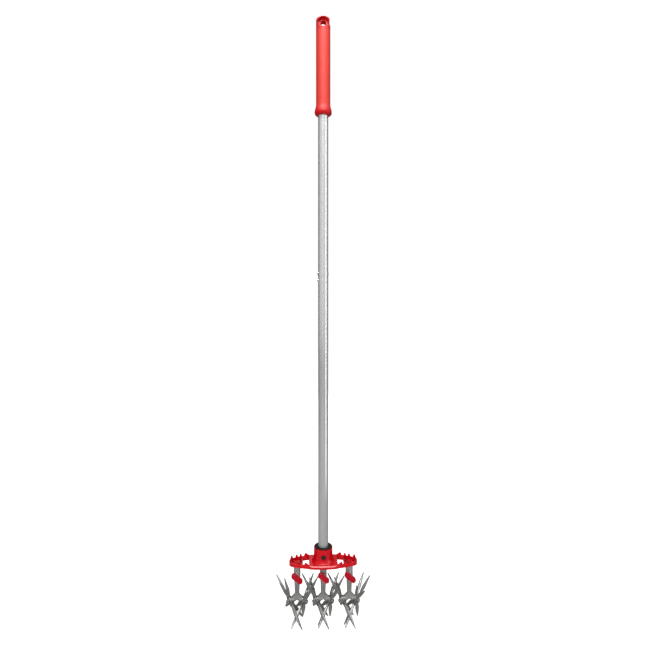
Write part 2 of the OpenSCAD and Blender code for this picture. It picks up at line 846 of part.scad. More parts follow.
// A star of tines round a disc whose middle plane is at a height along the axle
module star(x, side, height, splay, turn) {
    rest_turn = side < 0 ? left_turn : 180 - right_turn;
    stand = rest_turn + turn;
    color("gray") wheel_frame(x, side) translate([0, 0, height]) rotate([0, 0, stand]) difference() {
        union() {
            translate([0, 0, -star_t / 2]) cylinder(r = disc_r, h = star_t);
            for (i = [0 : star_tines - 1]) rotate([0, 0, i * tine_pitch]) tine(splay);
        }
        translate([0, 0, -2 * star_t]) cylinder(r = barrel_r + press_gap, h = 4 * star_t);
    }
}

module outer_star(x, side) {
    star(x, side, star_mid, outer_splay, 0);
}

module inner_star(x, side) {
    star(x, side, -star_mid, -inner_splay, tine_pitch / 2);
}

module axle(x, side) {
    color("silver") wheel_frame(x, side)
        translate([0, 0, -axle_reach]) cylinder(r = axle_r, h = axle_reach + cap_in + cap_h * cap_bore_share);
}

module axle_cap(x, side) {
    color("gray") wheel_frame(x, side) difference() {
        rotate_extrude() polygon(concat(
            [[0, cap_in], [cap_r, cap_in]],
            [
                for (a = [0 : dome_step : 90])
                    [cap_r * cos(a), cap_in + cap_h * (1 + sin(a)) / 2]
            ]
        ));
        translate([0, 0, cap_in - cut_over])
            cylinder(r = axle_r + press_gap, h = cut_over + cap_h * cap_bore_share + seat_gap);
    }
}

module axle_caps() {
    for (x = carrier_xs, side = [-1, 1]) axle_cap(x, side);
}

grip();
upper_tube();
lower_tube();
tube_coupler();
upper_button();
lower_button();
upper_button_spring();
lower_button_spring();
tube_bushing();
head_frame();
handle_bolt();
handle_nut();
for (i = [0 : 2]) {
    carrier(carrier_xs[i]);
    lock_knob(carrier_xs[i]);
    lock_pin(carrier_xs[i]);
    lock_spring(carrier_xs[i]);
}
for (i = [0 : 2], s = [0 : 1]) {
    wheel = str(PAIRS[i], "_pair_", SIDES[s]);
    wheel_hub(carrier_xs[i], 2 * s - 1);
    outer_star(carrier_xs[i], 2 * s - 1);
    inner_star(carrier_xs[i], 2 * s - 1);
    axle(carrier_xs[i], 2 * s - 1);
}
axle_caps();
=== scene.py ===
"""Finishes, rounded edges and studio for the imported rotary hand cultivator.

Everything is in metres in the part's own frame: +Z up, the front is -Y, and the origin is on the ground
below the pole.
"""

import json
import logging
import math
from dataclasses import dataclass, fields
from enum import Enum
from typing import Dict, Optional, Sequence, Tuple, Union

import bmesh
import bpy
from mathutils import Matrix, Vector

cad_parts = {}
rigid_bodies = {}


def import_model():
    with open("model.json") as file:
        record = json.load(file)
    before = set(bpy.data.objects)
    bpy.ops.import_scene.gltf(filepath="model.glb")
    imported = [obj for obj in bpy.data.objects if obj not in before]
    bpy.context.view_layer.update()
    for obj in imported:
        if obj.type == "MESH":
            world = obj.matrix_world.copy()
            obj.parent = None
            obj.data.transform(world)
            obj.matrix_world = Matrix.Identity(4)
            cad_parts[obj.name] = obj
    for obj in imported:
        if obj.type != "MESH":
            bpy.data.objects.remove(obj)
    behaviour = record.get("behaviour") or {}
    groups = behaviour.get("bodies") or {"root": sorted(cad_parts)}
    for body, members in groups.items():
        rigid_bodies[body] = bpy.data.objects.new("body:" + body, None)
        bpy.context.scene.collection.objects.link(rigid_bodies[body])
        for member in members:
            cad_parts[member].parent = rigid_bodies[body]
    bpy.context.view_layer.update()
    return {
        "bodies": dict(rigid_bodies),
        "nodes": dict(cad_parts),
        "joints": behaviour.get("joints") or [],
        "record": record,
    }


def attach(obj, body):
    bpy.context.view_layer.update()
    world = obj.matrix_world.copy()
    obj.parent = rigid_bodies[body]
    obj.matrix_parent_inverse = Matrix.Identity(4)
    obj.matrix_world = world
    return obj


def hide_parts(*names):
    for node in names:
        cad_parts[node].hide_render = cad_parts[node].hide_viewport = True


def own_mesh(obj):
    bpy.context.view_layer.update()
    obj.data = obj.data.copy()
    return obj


LOG = logging.getLogger("cultivator")
MM = 0.001
ROOT_BODY = "handle_and_head"
FLOAT = "NodeSocketFloat"
COLOUR = "NodeSocketColor"
VECTOR = "NodeSocketVector"

Colour = Tuple[float, float, float]
Point = Tuple[float, float, float]
Node = bpy.types.Node
Socket = bpy.types.NodeSocket
Mesh = bpy.types.Mesh


class Slot(Enum):
    """The record's material slots."""

    GRIP_RED = "grip_red"
    TUBE_SILVER = "tube_silver"
    STEEL = "steel"
    SPRING_STEEL = "spring_steel"
    BUSHING_BLACK = "bushing_black"
    FRAME_RED = "frame_red"
    KNOB_RED = "knob_red"
    CAST_GREY = "cast_grey"
    STAR_STEEL = "star_steel"
    HUB_STEEL = "hub_steel"
    BOLT_BLACK = "bolt_black"


class Pair(Enum):
    """The three wheel pairs, with the place of each along X."""

    LEFT = ("left", -59.0 * MM)
    CENTRE = ("centre", 0.0)
    RIGHT = ("right", 59.0 * MM)

    def __init__(self, label: str, x: float) -> None:
        """Keeps the pair's word in the names of its pieces, and its place."""
        self.label = label
        self.x = x


class Side(Enum):
    """The two wheels of a pair, with the sign of their direction along X."""

    LEFT = ("left", -1)
    RIGHT = ("right", 1)

    def __init__(self, label: str, sign: int) -> None:
        """Keeps the side's word in the names of its pieces, and its sign."""
        self.label = label
        self.sign = sign


class WheelStar(Enum):
    """The two stars of a wheel, with the sign of their direction along the axle."""

    OUTER = ("outer_star", 1)
    INNER = ("inner_star", -1)

    def __init__(self, label: str, outward: int) -> None:
        """Keeps the star's word in the names of its pieces, and its sign."""
        self.label = label
        self.outward = outward


class SnapButton(Enum):
    """The two snap buttons, with the heights of each one's clip at its free ends and at its bends."""

    UPPER = ("upper_button", 793.0 * MM, 832.0 * MM)
    LOWER = ("lower_button", 783.5 * MM, 744.5 * MM)

    def __init__(self, label: str, near: float, far: float) -> None:
        """Keeps the button's name and its clip's heights."""
        self.label = label
        self.near = near
        self.far = far


def rgba(colour: Colour) -> Tuple[float, float, float, float]:
    """Gives a colour its full alpha."""
    return (*colour, 1.0)


def grey(level: float, blue: Optional[float] = None) -> Colour:
    """Gives a grey, or a warm one with less blue than red and green."""
    return (level, level, level if blue is None else blue)


def share(value: float) -> float:
    """Keeps a value between 0 and 1."""
    return min(1.0, max(0.0, value))


class Links:
    """Short ways to place and join nodes in one node tree."""

    def __init__(self, tree: bpy.types.NodeTree) -> None:
        """Keeps the tree that the nodes are added to."""
        self.tree = tree

    def add(self, kind: str, inputs: Optional[Dict[object, object]] = None, **settings: object) -> Node:
        """Adds one node and feeds its inputs.

        Args:
            kind: Blender's type name of the node.
            inputs: A socket or a plain value for each input, by the input's name or number.
            **settings: Properties set on the node.

        Returns:
            The new node.
        """
        node = self.tree.nodes.new(kind)
        for name, value in settings.items():
            setattr(node, name, value)
        for key, source in (inputs or {}).items():
            self.feed(node.inputs[key], source)
        return node

    def feed(self, target: Socket, source: object) -> None:
        """Links a socket to a target, or sets the target's own value.

        Args:
            target: The input socket.
            source: An output socket, or a plain value.
        """
        if isinstance(source, Socket):
            self.tree.links.new(source, target)
        else:
            target.default_value = source

    def sockets(self, way: str, kinds: Dict[str, str]) -> None:
        """Adds sockets of the given types to the tree itself, as INPUT or OUTPUT."""
        for name, kind in kinds.items():
            self.tree.interface.new_socket(name, in_out=way, socket_type=kind)

    def math(self, operation: str, first: object, second: object = 0.0) -> Socket:
        """Adds a Math node for two sockets or numbers, and gives its result."""
        return self.add("ShaderNodeMath", {0: first, 1: second}, operation=operation).outputs[0]

    def times(self, first: object, second: object) -> Socket:
        """Multiplies two sockets or numbers."""
        return self.math("MULTIPLY", first, second)

    def minus(self, first: object, second: object) -> Socket:
        """Subtracts the second socket or number from the first."""
        return self.math("SUBTRACT", first, second)

    def vectors(self, operation: str, first: object, second: object = (0.0, 0.0, 0.0)) -> Node:
        """Adds a Vector Math node for two sockets or vectors."""
        return self.add("ShaderNodeVectorMath", {0: first, 1: second}, operation=operation)

    def remap(
        self, value: object, low: object, high: object, to_low: object = 0.0, to_high: object = 1.0
    ) -> Socket:
        """Maps a value that goes from low to high on to the span from to_low to to_high, and stops there."""
        ends = {"Value": value, "From Min": low, "From Max": high, "To Min": to_low, "To Max": to_high}
        return self.add("ShaderNodeMapRange", ends, clamp=True).outputs["Result"]

    def mix_colour(self, amount: object, first: object, second: object) -> Socket:
        """Mixes two colours, with an amount of 0 for the first and 1 for the second."""
        return self.add("ShaderNodeMix", {0: amount, 6: first, 7: second}, data_type="RGBA").outputs[2]

    def noise(self, place: object, scale: object, detail: float = 2.0, roughness: float = 0.5) -> Socket:
        """Adds a noise texture and gives its value."""
        inputs = {"Vector": place, "Scale": scale, "Detail": detail, "Roughness": roughness}
        return self.add("ShaderNodeTexNoise", inputs).outputs["Fac"]


def cleared(holder: Union[bpy.types.Material, bpy.types.World]) -> Links:
    """Empties the node tree of a material or a world.

    Args:
        holder: The material or world.

    Returns:
        The links of its empty tree.
    """
    holder.use_nodes = True
    holder.node_tree.nodes.clear()
    return Links(holder.node_tree)


def added(name: str, data: bpy.types.ID) -> bpy.types.Object:
    """Adds an object to the scene.

    Args:
        name: The object's name.
        data: Its mesh, lamp or camera.

    Returns:
        The object.
    """
    item = bpy.data.objects.new(name, data)
    bpy.context.scene.collection.objects.link(item)
    return item


def taken_mesh(holder: bpy.types.Object) -> Mesh:
    """Takes the evaluated mesh of a holder and removes the holder.

    Args:
        holder: An object whose modifiers make the mesh.

    Returns:
        The plain mesh.
    """
    graph = bpy.context.evaluated_depsgraph_get()
    mesh = bpy.data.meshes.new_from_object(holder.evaluated_get(graph), depsgraph=graph)
    spent = holder.data
    bpy.data.objects.remove(holder)
    if spent.users == 0:
        bpy.data.meshes.remove(spent)
    return mesh


class Effect(Enum):
    """The surface effects that the finishes place, each a shader node group."""

    MOTTLE = "colour mottle"
    GRAIN = "moulded grain"
    SPANGLE = "cast spangle"
    DRAWN = "drawn lines"
    EDGE = "edge polish"
    CREVICE = "crevice shade"


class EffectGroups:
    """Builds each effect once as a shader node group.

    A band holds the two values of a texture or a measure between which a mask grows from 0 to 1.
    """

    MOTTLE_DETAIL = 4.0
    MOTTLE_ROUGHNESS = 0.6
    MOTTLE_BAND = (0.35, 0.68)
    PEBBLE_SHARE = 0.6
    GRAIN_SCALE_SHARE = 0.45
    GRAIN_DETAIL = 3.0
    CRYSTAL_SHARE = 0.45
    PIT_SHARE = 0.55
    PIT_SCALE_SHARE = 0.7
    PIT_DETAIL = 5.0
    PIT_ROUGHNESS = 0.65
    PIT_BAND = (0.3, 0.7)
    LINE_SCALE = 1500.0
    RAYS = 6
    EDGE_BAND = (0.995, 0.9)
    BREAK_SCALE = 350.0
    BREAK_DETAIL = 3.0
    BREAK_BAND = (0.38, 0.6)
    CREVICE_BAND = (0.95, 0.4)
    STAIN_SCALE = 160.0
    STAIN_BAND = (0.2, 0.6)
    STAIN_LEAST_SHARE = 0.6

    def __init__(self) -> None:
        """Builds every group."""
        self.trees: Dict[Effect, bpy.types.NodeTree] = {
            Effect.MOTTLE: self._mottle(),
            Effect.GRAIN: self._grain(),
            Effect.SPANGLE: self._spangle(),
            Effect.DRAWN: self._drawn(),
            Effect.EDGE: self._edge(),
            Effect.CREVICE: self._crevice(),
        }

    @staticmethod
    def _start(
        effect: Effect, inputs: Dict[str, str], outputs: Dict[str, str]
    ) -> Tuple[Links, bpy.types.NodeOutputs, bpy.types.NodeInputs]:
        """Makes an empty group with its sockets.

        Args:
            effect: The effect that names the group.
            inputs: Each input's socket type, besides the coordinates.
            outputs: Each output's socket type.

        Returns:
            The group's links, the sockets that it is given and those that it puts out.
        """
        links = Links(bpy.data.node_groups.new(effect.value, "ShaderNodeTree"))
        links.sockets("INPUT", {"Vector": VECTOR, **inputs})
        links.sockets("OUTPUT", outputs)
        return links, links.add("NodeGroupInput").outputs, links.add("NodeGroupOutput").inputs

    def _mottle(self) -> bpy.types.NodeTree:
        """Builds slow patches of a second shade over a base colour."""
        links, given, made = self._start(
            Effect.MOTTLE,
            {"Colour": COLOUR, "Shade": COLOUR, "Scale": FLOAT, "Share": FLOAT},
            {"Colour": COLOUR, "Mask": FLOAT},
        )
        noise = links.noise(given["Vector"], given["Scale"], self.MOTTLE_DETAIL, self.MOTTLE_ROUGHNESS)
        mask = links.remap(noise, *self.MOTTLE_BAND)
        amount = links.times(mask, given["Share"])
        links.feed(made["Colour"], links.mix_colour(amount, given["Colour"], given["Shade"]))
        links.feed(made["Mask"], mask)
        return links.tree

    def _grain(self) -> bpy.types.NodeTree:
        """Builds the fine pebbled skin of a moulding, as a height."""
        links, given, made = self._start(Effect.GRAIN, {"Scale": FLOAT}, {"Height": FLOAT})
        place, scale = given["Vector"], given["Scale"]
        pebble = links.add("ShaderNodeTexVoronoi", {"Vector": place, "Scale": scale}, feature="SMOOTH_F1")
        noise = links.noise(place, links.times(scale, self.GRAIN_SCALE_SHARE), self.GRAIN_DETAIL)
        height = links.math("ADD", links.times(pebble.outputs["Distance"], self.PEBBLE_SHARE), noise)
        links.feed(made["Height"], height)
        return links.tree

    def _spangle(self) -> bpy.types.NodeTree:
        """Builds the speckle of a plated casting: a tone for each crystal, and pits as a height."""
        links, given, made = self._start(
            Effect.SPANGLE, {"Scale": FLOAT}, {"Tone": FLOAT, "Height": FLOAT}
        )
        place, scale = given["Vector"], given["Scale"]
        cells = links.add("ShaderNodeTexVoronoi", {"Vector": place, "Scale": scale}, feature="F1")
        crystal = links.add("ShaderNodeSeparateColor", {0: cells.outputs["Color"]}).outputs[0]
        pit_scale = links.times(scale, self.PIT_SCALE_SHARE)
        pits = links.noise(place, pit_scale, self.PIT_DETAIL, self.PIT_ROUGHNESS)
        tone = links.math(
            "ADD",
            links.times(crystal, self.CRYSTAL_SHARE),
            links.times(links.remap(pits, *self.PIT_BAND), self.PIT_SHARE),
        )
        links.feed(made["Tone"], tone)
        links.feed(made["Height"], pits)
        return links.tree

    def _drawn(self) -> bpy.types.NodeTree:
        """Builds the fine lines that drawing or turning leaves on steel."""
        links, given, made = self._start(Effect.DRAWN, {"Stretch": VECTOR}, {"Value": FLOAT})
        stretched = links.vectors("MULTIPLY", given["Vector"], given["Stretch"]).outputs[0]
        links.feed(made["Value"], links.noise(stretched, self.LINE_SCALE))
        return links.tree

    def _edge(self) -> bpy.types.NodeTree:
        """Builds a broken mask along the edges that handling polishes."""
        links, given, made = self._start(Effect.EDGE, {"Radius": FLOAT}, {"Mask": FLOAT})
        rounded = links.add("ShaderNodeBevel", {"Radius": given["Radius"]}, samples=self.RAYS)
        surface = links.add("ShaderNodeNewGeometry")
        facing = links.vectors("DOT_PRODUCT", rounded.outputs[0], surface.outputs["Normal"])
        turn = links.remap(facing.outputs["Value"], *self.EDGE_BAND)
        noise = links.noise(given["Vector"], self.BREAK_SCALE, self.BREAK_DETAIL)
        links.feed(made["Mask"], links.times(turn, links.remap(noise, *self.BREAK_BAND)))
        return links.tree

    def _crevice(self) -> bpy.types.NodeTree:
        """Builds a painted-shade mask of recesses and corners by ambient occlusion, broken by slow noise."""
        links, given, made = self._start(Effect.CREVICE, {"Reach": FLOAT}, {"Mask": FLOAT})
        sky = links.add("ShaderNodeAmbientOcclusion", {"Distance": given["Reach"]}, samples=self.RAYS)
        shut = links.remap(sky.outputs["AO"], *self.CREVICE_BAND)
        noise = links.noise(given["Vector"], self.STAIN_SCALE)
        shade_break = links.remap(noise, *self.STAIN_BAND, self.STAIN_LEAST_SHARE)
        links.feed(made["Mask"], links.times(shut, shade_break))
        return links.tree


class SurfaceDraft:
    """A material in the making: its Principled shader, its coordinates and the effects placed in it."""

    def __init__(self, slot: Slot, groups: EffectGroups) -> None:
        """Starts a material with an empty Principled shader.

        Args:
            slot: The slot that names the material.
            groups: The shared effects.
        """
        self.material = bpy.data.materials.new(slot.value)
        self.links = cleared(self.material)
        self.groups = groups
        self.shader = self.links.add("ShaderNodeBsdfPrincipled")
        self.links.add("ShaderNodeOutputMaterial", {"Surface": self.shader.outputs[0]})
        self.place = self.links.add("ShaderNodeTexCoord").outputs["Object"]

    def effect(self, effect: Effect, **values: object) -> bpy.types.NodeOutputs:
        """Places a shared effect on the piece's own coordinates, and gives its outputs."""
        inputs = {"Vector": self.place, **values}
        return self.links.add("ShaderNodeGroup", inputs, node_tree=self.groups.trees[effect]).outputs

    def set(self, name: str, value: object) -> None:
        """Feeds one input of the shader."""
        self.links.feed(self.shader.inputs[name], value)

    def bump(self, height: Socket, strength: float, distance: float) -> None:
        """Raises the surface by a height, whose full step is a distance in metres."""
        inputs = {"Strength": strength, "Distance": distance, "Height": height}
        self.set("Normal", self.links.add("ShaderNodeBump", inputs).outputs[0])


@dataclass(frozen=True, kw_only=True)
class Finish:
    """What every finish has: its slot, gloss, skin depth, rubbed edges and shade painted in its crevices."""

    slot: Slot
    rubbed: Colour
    roughness: float
    roughness_spread: float
    skin_depth: float
    skin_strength: float
    gloss: float
    edge_radius: float
    edge_share: float
    crevice_reach: float
    metallic: float = 0.0

    @property
    def smoothest(self) -> float:
        """The roughness where the surface is smoothest."""
        return self.roughness - self.roughness_spread

    @property
    def roughest(self) -> float:
        """The roughness where the surface is roughest."""
        return self.roughness + self.roughness_spread

    def make(self, groups: EffectGroups) -> bpy.types.Material:
        """Builds the material.

        Args:
            groups: The shared effects.

        Returns:
            The finished material.
        """
        draft = SurfaceDraft(self.slot, groups)
        links = draft.links
        # Painted shade: an ambient-occlusion mask of corners and recesses, which each kind of finish darkens.
        crevice = draft.effect(Effect.CREVICE, Reach=self.crevice_reach)["Mask"]
        body, rough, height = self._skin(draft, crevice)
        edge = draft.effect(Effect.EDGE, Radius=self.edge_radius)["Mask"]
        worn = links.times(edge, self.edge_share)
        draft.set("Base Color", links.mix_colour(worn, body, rgba(self.rubbed)))
        draft.set("Roughness", rough)
        draft.set("Metallic", self.metallic)
        draft.set("Specular IOR Level", self.gloss)
        draft.bump(height, self.skin_strength, self.skin_depth)
        return draft.material

    def _skin(self, draft: SurfaceDraft, crevice: Socket) -> Tuple[Socket, Socket, Socket]:
        """Gives the body colour, the roughness and the height that each kind of finish makes in its way."""
        raise NotImplementedError


@dataclass(frozen=True, kw_only=True)
class MouldedFinish(Finish):
    """A moulded plastic with grain, mottle, paler rubbed edges, painted crevice shade and an optional painted
    highlight.
    """

    colour: Colour
    shade: Colour
    # The deep colour is painted shade, mixed in where the crevice mask finds corners and recesses.
    deep: Colour
    grain_scale: float
    skin_strength: float = 0.35
    edge_radius: float = 1.0 * MM
    edge_share: float = 0.35
    crevice_reach: float = 8.0 * MM
    mottle_scale: float = 55.0
    mottle_share: float = 0.5
    held: Optional[Colour] = None
    held_span: Tuple[float, float] = (0.0, 0.0)
    held_fade: float = 14.0 * MM

    def _body(self, draft: SurfaceDraft) -> object:
        """Gives the body colour, paler over a span of heights as a painted highlight for a broad softbox
        reflection.

        Args:
            draft: The material in the making.

        Returns:
            A colour, or the socket that holds it.
        """
        if self.held is None:
            return rgba(self.colour)
        links = draft.links
        height = links.add("ShaderNodeSeparateXYZ", {0: draft.place}).outputs[2]
        low, high = self.held_span
        # Painted highlight: paler between two heights, standing in for a broad softbox reflection on the
        # grip.
        rise = links.remap(height, low, low + self.held_fade)
        fall = links.remap(height, high - self.held_fade, high, 1.0, 0.0)
        return links.mix_colour(links.times(rise, fall), rgba(self.colour), rgba(self.held))

    def _skin(self, draft: SurfaceDraft, crevice: Socket) -> Tuple[Socket, Socket, Socket]:
        """Makes the mottled body, deeper in the crevices as painted shade, and the grain.

        Args:
            draft: The material in the making.
            crevice: The painted-shade mask of corners and recesses.

        Returns:
            The body colour, the roughness and the height of the skin.
        """
        mottle = draft.effect(
            Effect.MOTTLE,
            Colour=self._body(draft),
            Shade=rgba(self.shade),
            Scale=self.mottle_scale,
            Share=self.mottle_share,
        )
        # Painted shade: the deep colour is mixed in where the crevice mask finds corners and recesses.
        body = draft.links.mix_colour(crevice, mottle["Colour"], rgba(self.deep))
        rough = draft.links.remap(mottle["Mask"], 0.0, 1.0, self.smoothest, self.roughest)
        return body, rough, draft.effect(Effect.GRAIN, Scale=self.grain_scale)["Height"]


@dataclass(frozen=True, kw_only=True)
class MetalFinish(Finish):
    """A metal: crystal or drawn tone, pits, brighter rubbed edges, and painted shade in its crevices."""

    dark: Colour
    light: Colour
    spangle_scale: float
    drawn_stretch: Optional[Point] = None
    skin_strength: float = 0.4
    gloss: float = 0.5
    edge_radius: float = 0.8 * MM
    edge_share: float = 0.6
    crevice_reach: float = 6.0 * MM
    contrast: float = 0.0

    def _skin(self, draft: SurfaceDraft, crevice: Socket) -> Tuple[Socket, Socket, Socket]:
        """Makes the tone between dark and light, darkened in the crevices as painted shade, and the pits or
        lines.

        Args:
            draft: The material in the making.
            crevice: The painted-shade mask of corners and recesses.

        Returns:
            The body colour, the roughness and the height of the skin.
        """
        links = draft.links
        spangle = draft.effect(Effect.SPANGLE, Scale=self.spangle_scale)
        tone, height = spangle["Tone"], spangle["Height"]
        if self.drawn_stretch is not None:
            height = draft.effect(Effect.DRAWN, Stretch=self.drawn_stretch)["Value"]
            tone = links.times(links.math("ADD", tone, height), 0.5)
        strong = links.remap(tone, self.contrast, 1.0 - self.contrast)
        # Painted shade: the tone falls towards dark where the crevice mask finds corners and recesses.
        lit = links.times(strong, links.minus(1.0, crevice))
        body = links.mix_colour(lit, rgba(self.dark), rgba(self.light))
        return body, links.remap(tone, 0.0, 1.0, self.roughest, self.smoothest), height


# In the moulded finishes, deep is the colour painted as shade in crevices.
FINISHES: Tuple[Finish, ...] = (
    MouldedFinish(
        slot=Slot.GRIP_RED,
        colour=(0.58, 0.007, 0.010),
        shade=(0.68, 0.032, 0.030),
        rubbed=(0.80, 0.09, 0.08),
        deep=(0.30, 0.003, 0.003),
        roughness=0.5,
        roughness_spread=0.04,
        gloss=0.14,
        grain_scale=1100.0,
        skin_depth=0.03 * MM,
        mottle_share=0.12,
        edge_share=0.12,
        # A paler band over the grip's middle: a painted highlight for a broad softbox reflection.
        held=(0.69, 0.045, 0.032),
        held_span=(1164.0 * MM, 1353.0 * MM),
    ),
    MouldedFinish(
        slot=Slot.FRAME_RED,
        colour=(0.70, 0.003, 0.010),
        shade=(0.62, 0.002, 0.008),
        rubbed=(0.80, 0.03, 0.04),
        deep=(0.26, 0.0, 0.002),
        roughness=0.2,
        roughness_spread=0.04,
        gloss=0.3,
        grain_scale=700.0,
        skin_depth=0.03 * MM,
        edge_share=0.2,
        crevice_reach=5.0 * MM,
    ),
    MouldedFinish(
        slot=Slot.KNOB_RED,
        colour=(0.58, 0.005, 0.022),
        shade=(0.50, 0.004, 0.018),
        rubbed=(0.62, 0.06, 0.08),
        deep=(0.12, 0.0, 0.003),
        roughness=0.28,
        roughness_spread=0.05,
        gloss=0.2,
        grain_scale=1200.0,
        skin_depth=0.02 * MM,
        edge_radius=0.6 * MM,
        crevice_reach=4.0 * MM,
    ),
    MouldedFinish(
        slot=Slot.BUSHING_BLACK,
        colour=grey(0.012),
        shade=(0.008, 0.008, 0.009),
        rubbed=grey(0.04),
        deep=grey(0.004),
        roughness=0.42,
        roughness_spread=0.07,
        gloss=0.12,
        grain_scale=1400.0,
        skin_depth=0.03 * MM,
    ),
    MetalFinish(
        slot=Slot.TUBE_SILVER,
        dark=grey(0.50),
        light=grey(0.57),
        rubbed=grey(0.64),
        metallic=0.4,
        roughness=0.2,
        roughness_spread=0.03,
        spangle_scale=2600.0,
        skin_depth=0.003 * MM,
        edge_radius=0.4 * MM,
    ),
    MetalFinish(
        slot=Slot.STEEL,
        dark=grey(0.36, 0.35),
        light=grey(0.54, 0.53),
        rubbed=grey(0.70, 0.69),
        metallic=1.0,
        roughness=0.3,
        roughness_spread=0.08,
        spangle_scale=1200.0,
        skin_depth=0.01 * MM,
        drawn_stretch=(0.03, 1.0, 1.0),
    ),
    MetalFinish(
        slot=Slot.SPRING_STEEL,
        dark=grey(0.22),
        light=grey(0.42),
        rubbed=grey(0.6),
        metallic=1.0,
        roughness=0.28,
        roughness_spread=0.06,
        spangle_scale=1500.0,
        skin_depth=0.006 * MM,
    ),
    MetalFinish(
        slot=Slot.CAST_GREY,
        dark=grey(0.30, 0.293),
        light=grey(0.52, 0.508),
        rubbed=grey(0.66, 0.65),
        metallic=0.4,
        roughness=0.38,
        roughness_spread=0.07,
        gloss=0.4,
        spangle_scale=900.0,
        skin_depth=0.04 * MM,
    ),
    MetalFinish(
        slot=Slot.STAR_STEEL,
        dark=grey(0.10, 0.097),
        light=grey(0.43, 0.419),
        rubbed=grey(0.60, 0.585),
        metallic=0.3,
        roughness=0.46,
        roughness_spread=0.12,
        gloss=0.2,
        spangle_scale=480.0,
        skin_depth=0.12 * MM,
        contrast=0.1,
    ),
    MetalFinish(
        slot=Slot.HUB_STEEL,
        dark=grey(0.10, 0.098),
        light=grey(0.46, 0.45),
        rubbed=grey(0.62, 0.61),
        metallic=0.6,
        roughness=0.38,
        roughness_spread=0.1,
        spangle_scale=600.0,
        skin_depth=0.06 * MM,
    ),
    MetalFinish(
        slot=Slot.BOLT_BLACK,
        dark=(0.012, 0.011, 0.011),
        light=(0.045, 0.043, 0.042),
        rubbed=(0.16, 0.155, 0.15),
        metallic=0.5,
        roughness=0.4,
        roughness_spread=0.08,
        spangle_scale=900.0,
        skin_depth=0.02 * MM,
        edge_share=0.35,
    ),
)


@dataclass(frozen=True)
class FrontRoll:
    """The rolled lip along the front wall of the head frame, between the two windows."""

    half_span: float = 33.0 * MM
    fade: float = 3.0 * MM
    front_y: float = -20.5 * MM
    base_z: float = 139.2 * MM
    shoulder_z: float = 143.0 * MM
    top_z: float = 146.2 * MM
    high_z: float = 150.0 * MM
    swell: float = 2.8 * MM
    tuck: float = 1.2 * MM
    fullness: float = 1.5
    cuts: int = 6
    cut_within: float = 1e-7
    most_lean: float = 0.02
    least_facing: float = 0.6

    def bend(self, work: bmesh.types.BMesh) -> None:
        """Cuts the wall into bands and swells them forward.

        Args:
            work: The frame's mesh in the making.
        """
        for cut in range(self.cuts + 1):
            wall = self._wall(work)
            edges = dict.fromkeys(edge for face in wall for edge in face.edges)
            corners = dict.fromkeys(vertex for face in wall for vertex in face.verts)
            drop = 1.0 - math.cos(math.pi / 2 * cut / self.cuts)
            bmesh.ops.bisect_plane(
                work,
                geom=[*wall, *edges, *corners],
                dist=self.cut_within,
                plane_co=(0.0, 0.0, self.top_z + (self.shoulder_z - self.top_z) * drop),
                plane_no=(0.0, 0.0, 1.0),
            )
        moved = {vertex for face in self._wall(work) for vertex in face.verts}
        for vertex in moved:
            inside = share((self.half_span - abs(vertex.co.x)) / self.fade)
            vertex.co.y -= inside * self._forward(vertex.co.z)
        work.normal_update()
        LOG.info("rolled %d corners", len(moved))

    def _forward(self, z: float) -> float:
        """Tells how far forward the lip stands at a height.

        Args:
            z: The height.

        Returns:
            The distance along -Y.
        """
        drop = share((self.top_z - z) / (self.top_z - self.shoulder_z))
        below = max(0.0, (self.shoulder_z - z) / (self.shoulder_z - self.base_z))
        round_off = (1.0 - (1.0 - drop) ** self.fullness) ** (1.0 / self.fullness)
        return self.swell * round_off - self.tuck * below

    def _wall(self, work: bmesh.types.BMesh) -> Sequence[bmesh.types.BMFace]:
        """Finds the upright faces at the front of the frame.

        Args:
            work: The frame's mesh in the making.

        Returns:
            The faces.
        """
        found = []
        for face in work.faces:
            middle = face.calc_center_median()
            upright = abs(face.normal.z) < self.most_lean and -face.normal.y > self.least_facing
            in_front = middle.y < self.front_y and middle.z < self.high_z
            if upright and in_front and abs(middle.x) < self.half_span:
                found.append(face)
        return found


@dataclass(frozen=True)
class EdgeRound:
    """Copies a CAD node's mesh and rounds the edges that are sharper than an angle in degrees."""

    width: float
    segments: int = 2
    sharp_from: float = 26.0
    smooth_to: float = 50.0
    flat_within: float = 0.6
    merge: float = 0.002 * MM
    profile: float = 0.5
    face_weight: int = 100

    def copy(self, source: bpy.types.Object, roll: Optional[FrontRoll] = None) -> Mesh:
        """Makes the rounded copy.

        Args:
            source: The CAD node's object.
            roll: A broad roll that is made first.

        Returns:
            A new mesh in the same place.
        """
        work = bmesh.new()
        work.from_mesh(source.data)
        bmesh.ops.remove_doubles(work, verts=work.verts, dist=self.merge)
        bmesh.ops.dissolve_degenerate(work, dist=self.merge, edges=work.edges)
        bmesh.ops.dissolve_limit(
            work,
            angle_limit=math.radians(self.flat_within),
            use_dissolve_boundaries=False,
            verts=work.verts,
            edges=work.edges,
        )
        if roll is not None:
            roll.bend(work)
        sharp = [
            edge
            for edge in work.edges
            if len(edge.link_faces) == 2 and edge.calc_face_angle(0.0) > math.radians(self.sharp_from)
        ]
        bmesh.ops.bevel(
            work,
            geom=sharp,
            offset=self.width,
            offset_type="OFFSET",
            segments=self.segments,
            profile=self.profile,
            affect="EDGES",
            clamp_overlap=True,
        )
        return self._smoothed(work)

    def _smoothed(self, work: bmesh.types.BMesh) -> Mesh:
        """Turns a mesh in the making into a smooth-shaded mesh with face-weighted normals.

        Args:
            work: The mesh in the making, which is freed.

        Returns:
            The new mesh.
        """
        mesh = bpy.data.meshes.new("draft")
        for face in work.faces:
            face.smooth = True
        work.to_mesh(mesh)
        work.free()
        mesh.set_sharp_from_angle(angle=math.radians(self.smooth_to))
        holder = added("draft", mesh)
        weigh = holder.modifiers.new("weigh", "WEIGHTED_NORMAL")
        weigh.keep_sharp = True
        weigh.weight = self.face_weight
        return taken_mesh(holder)


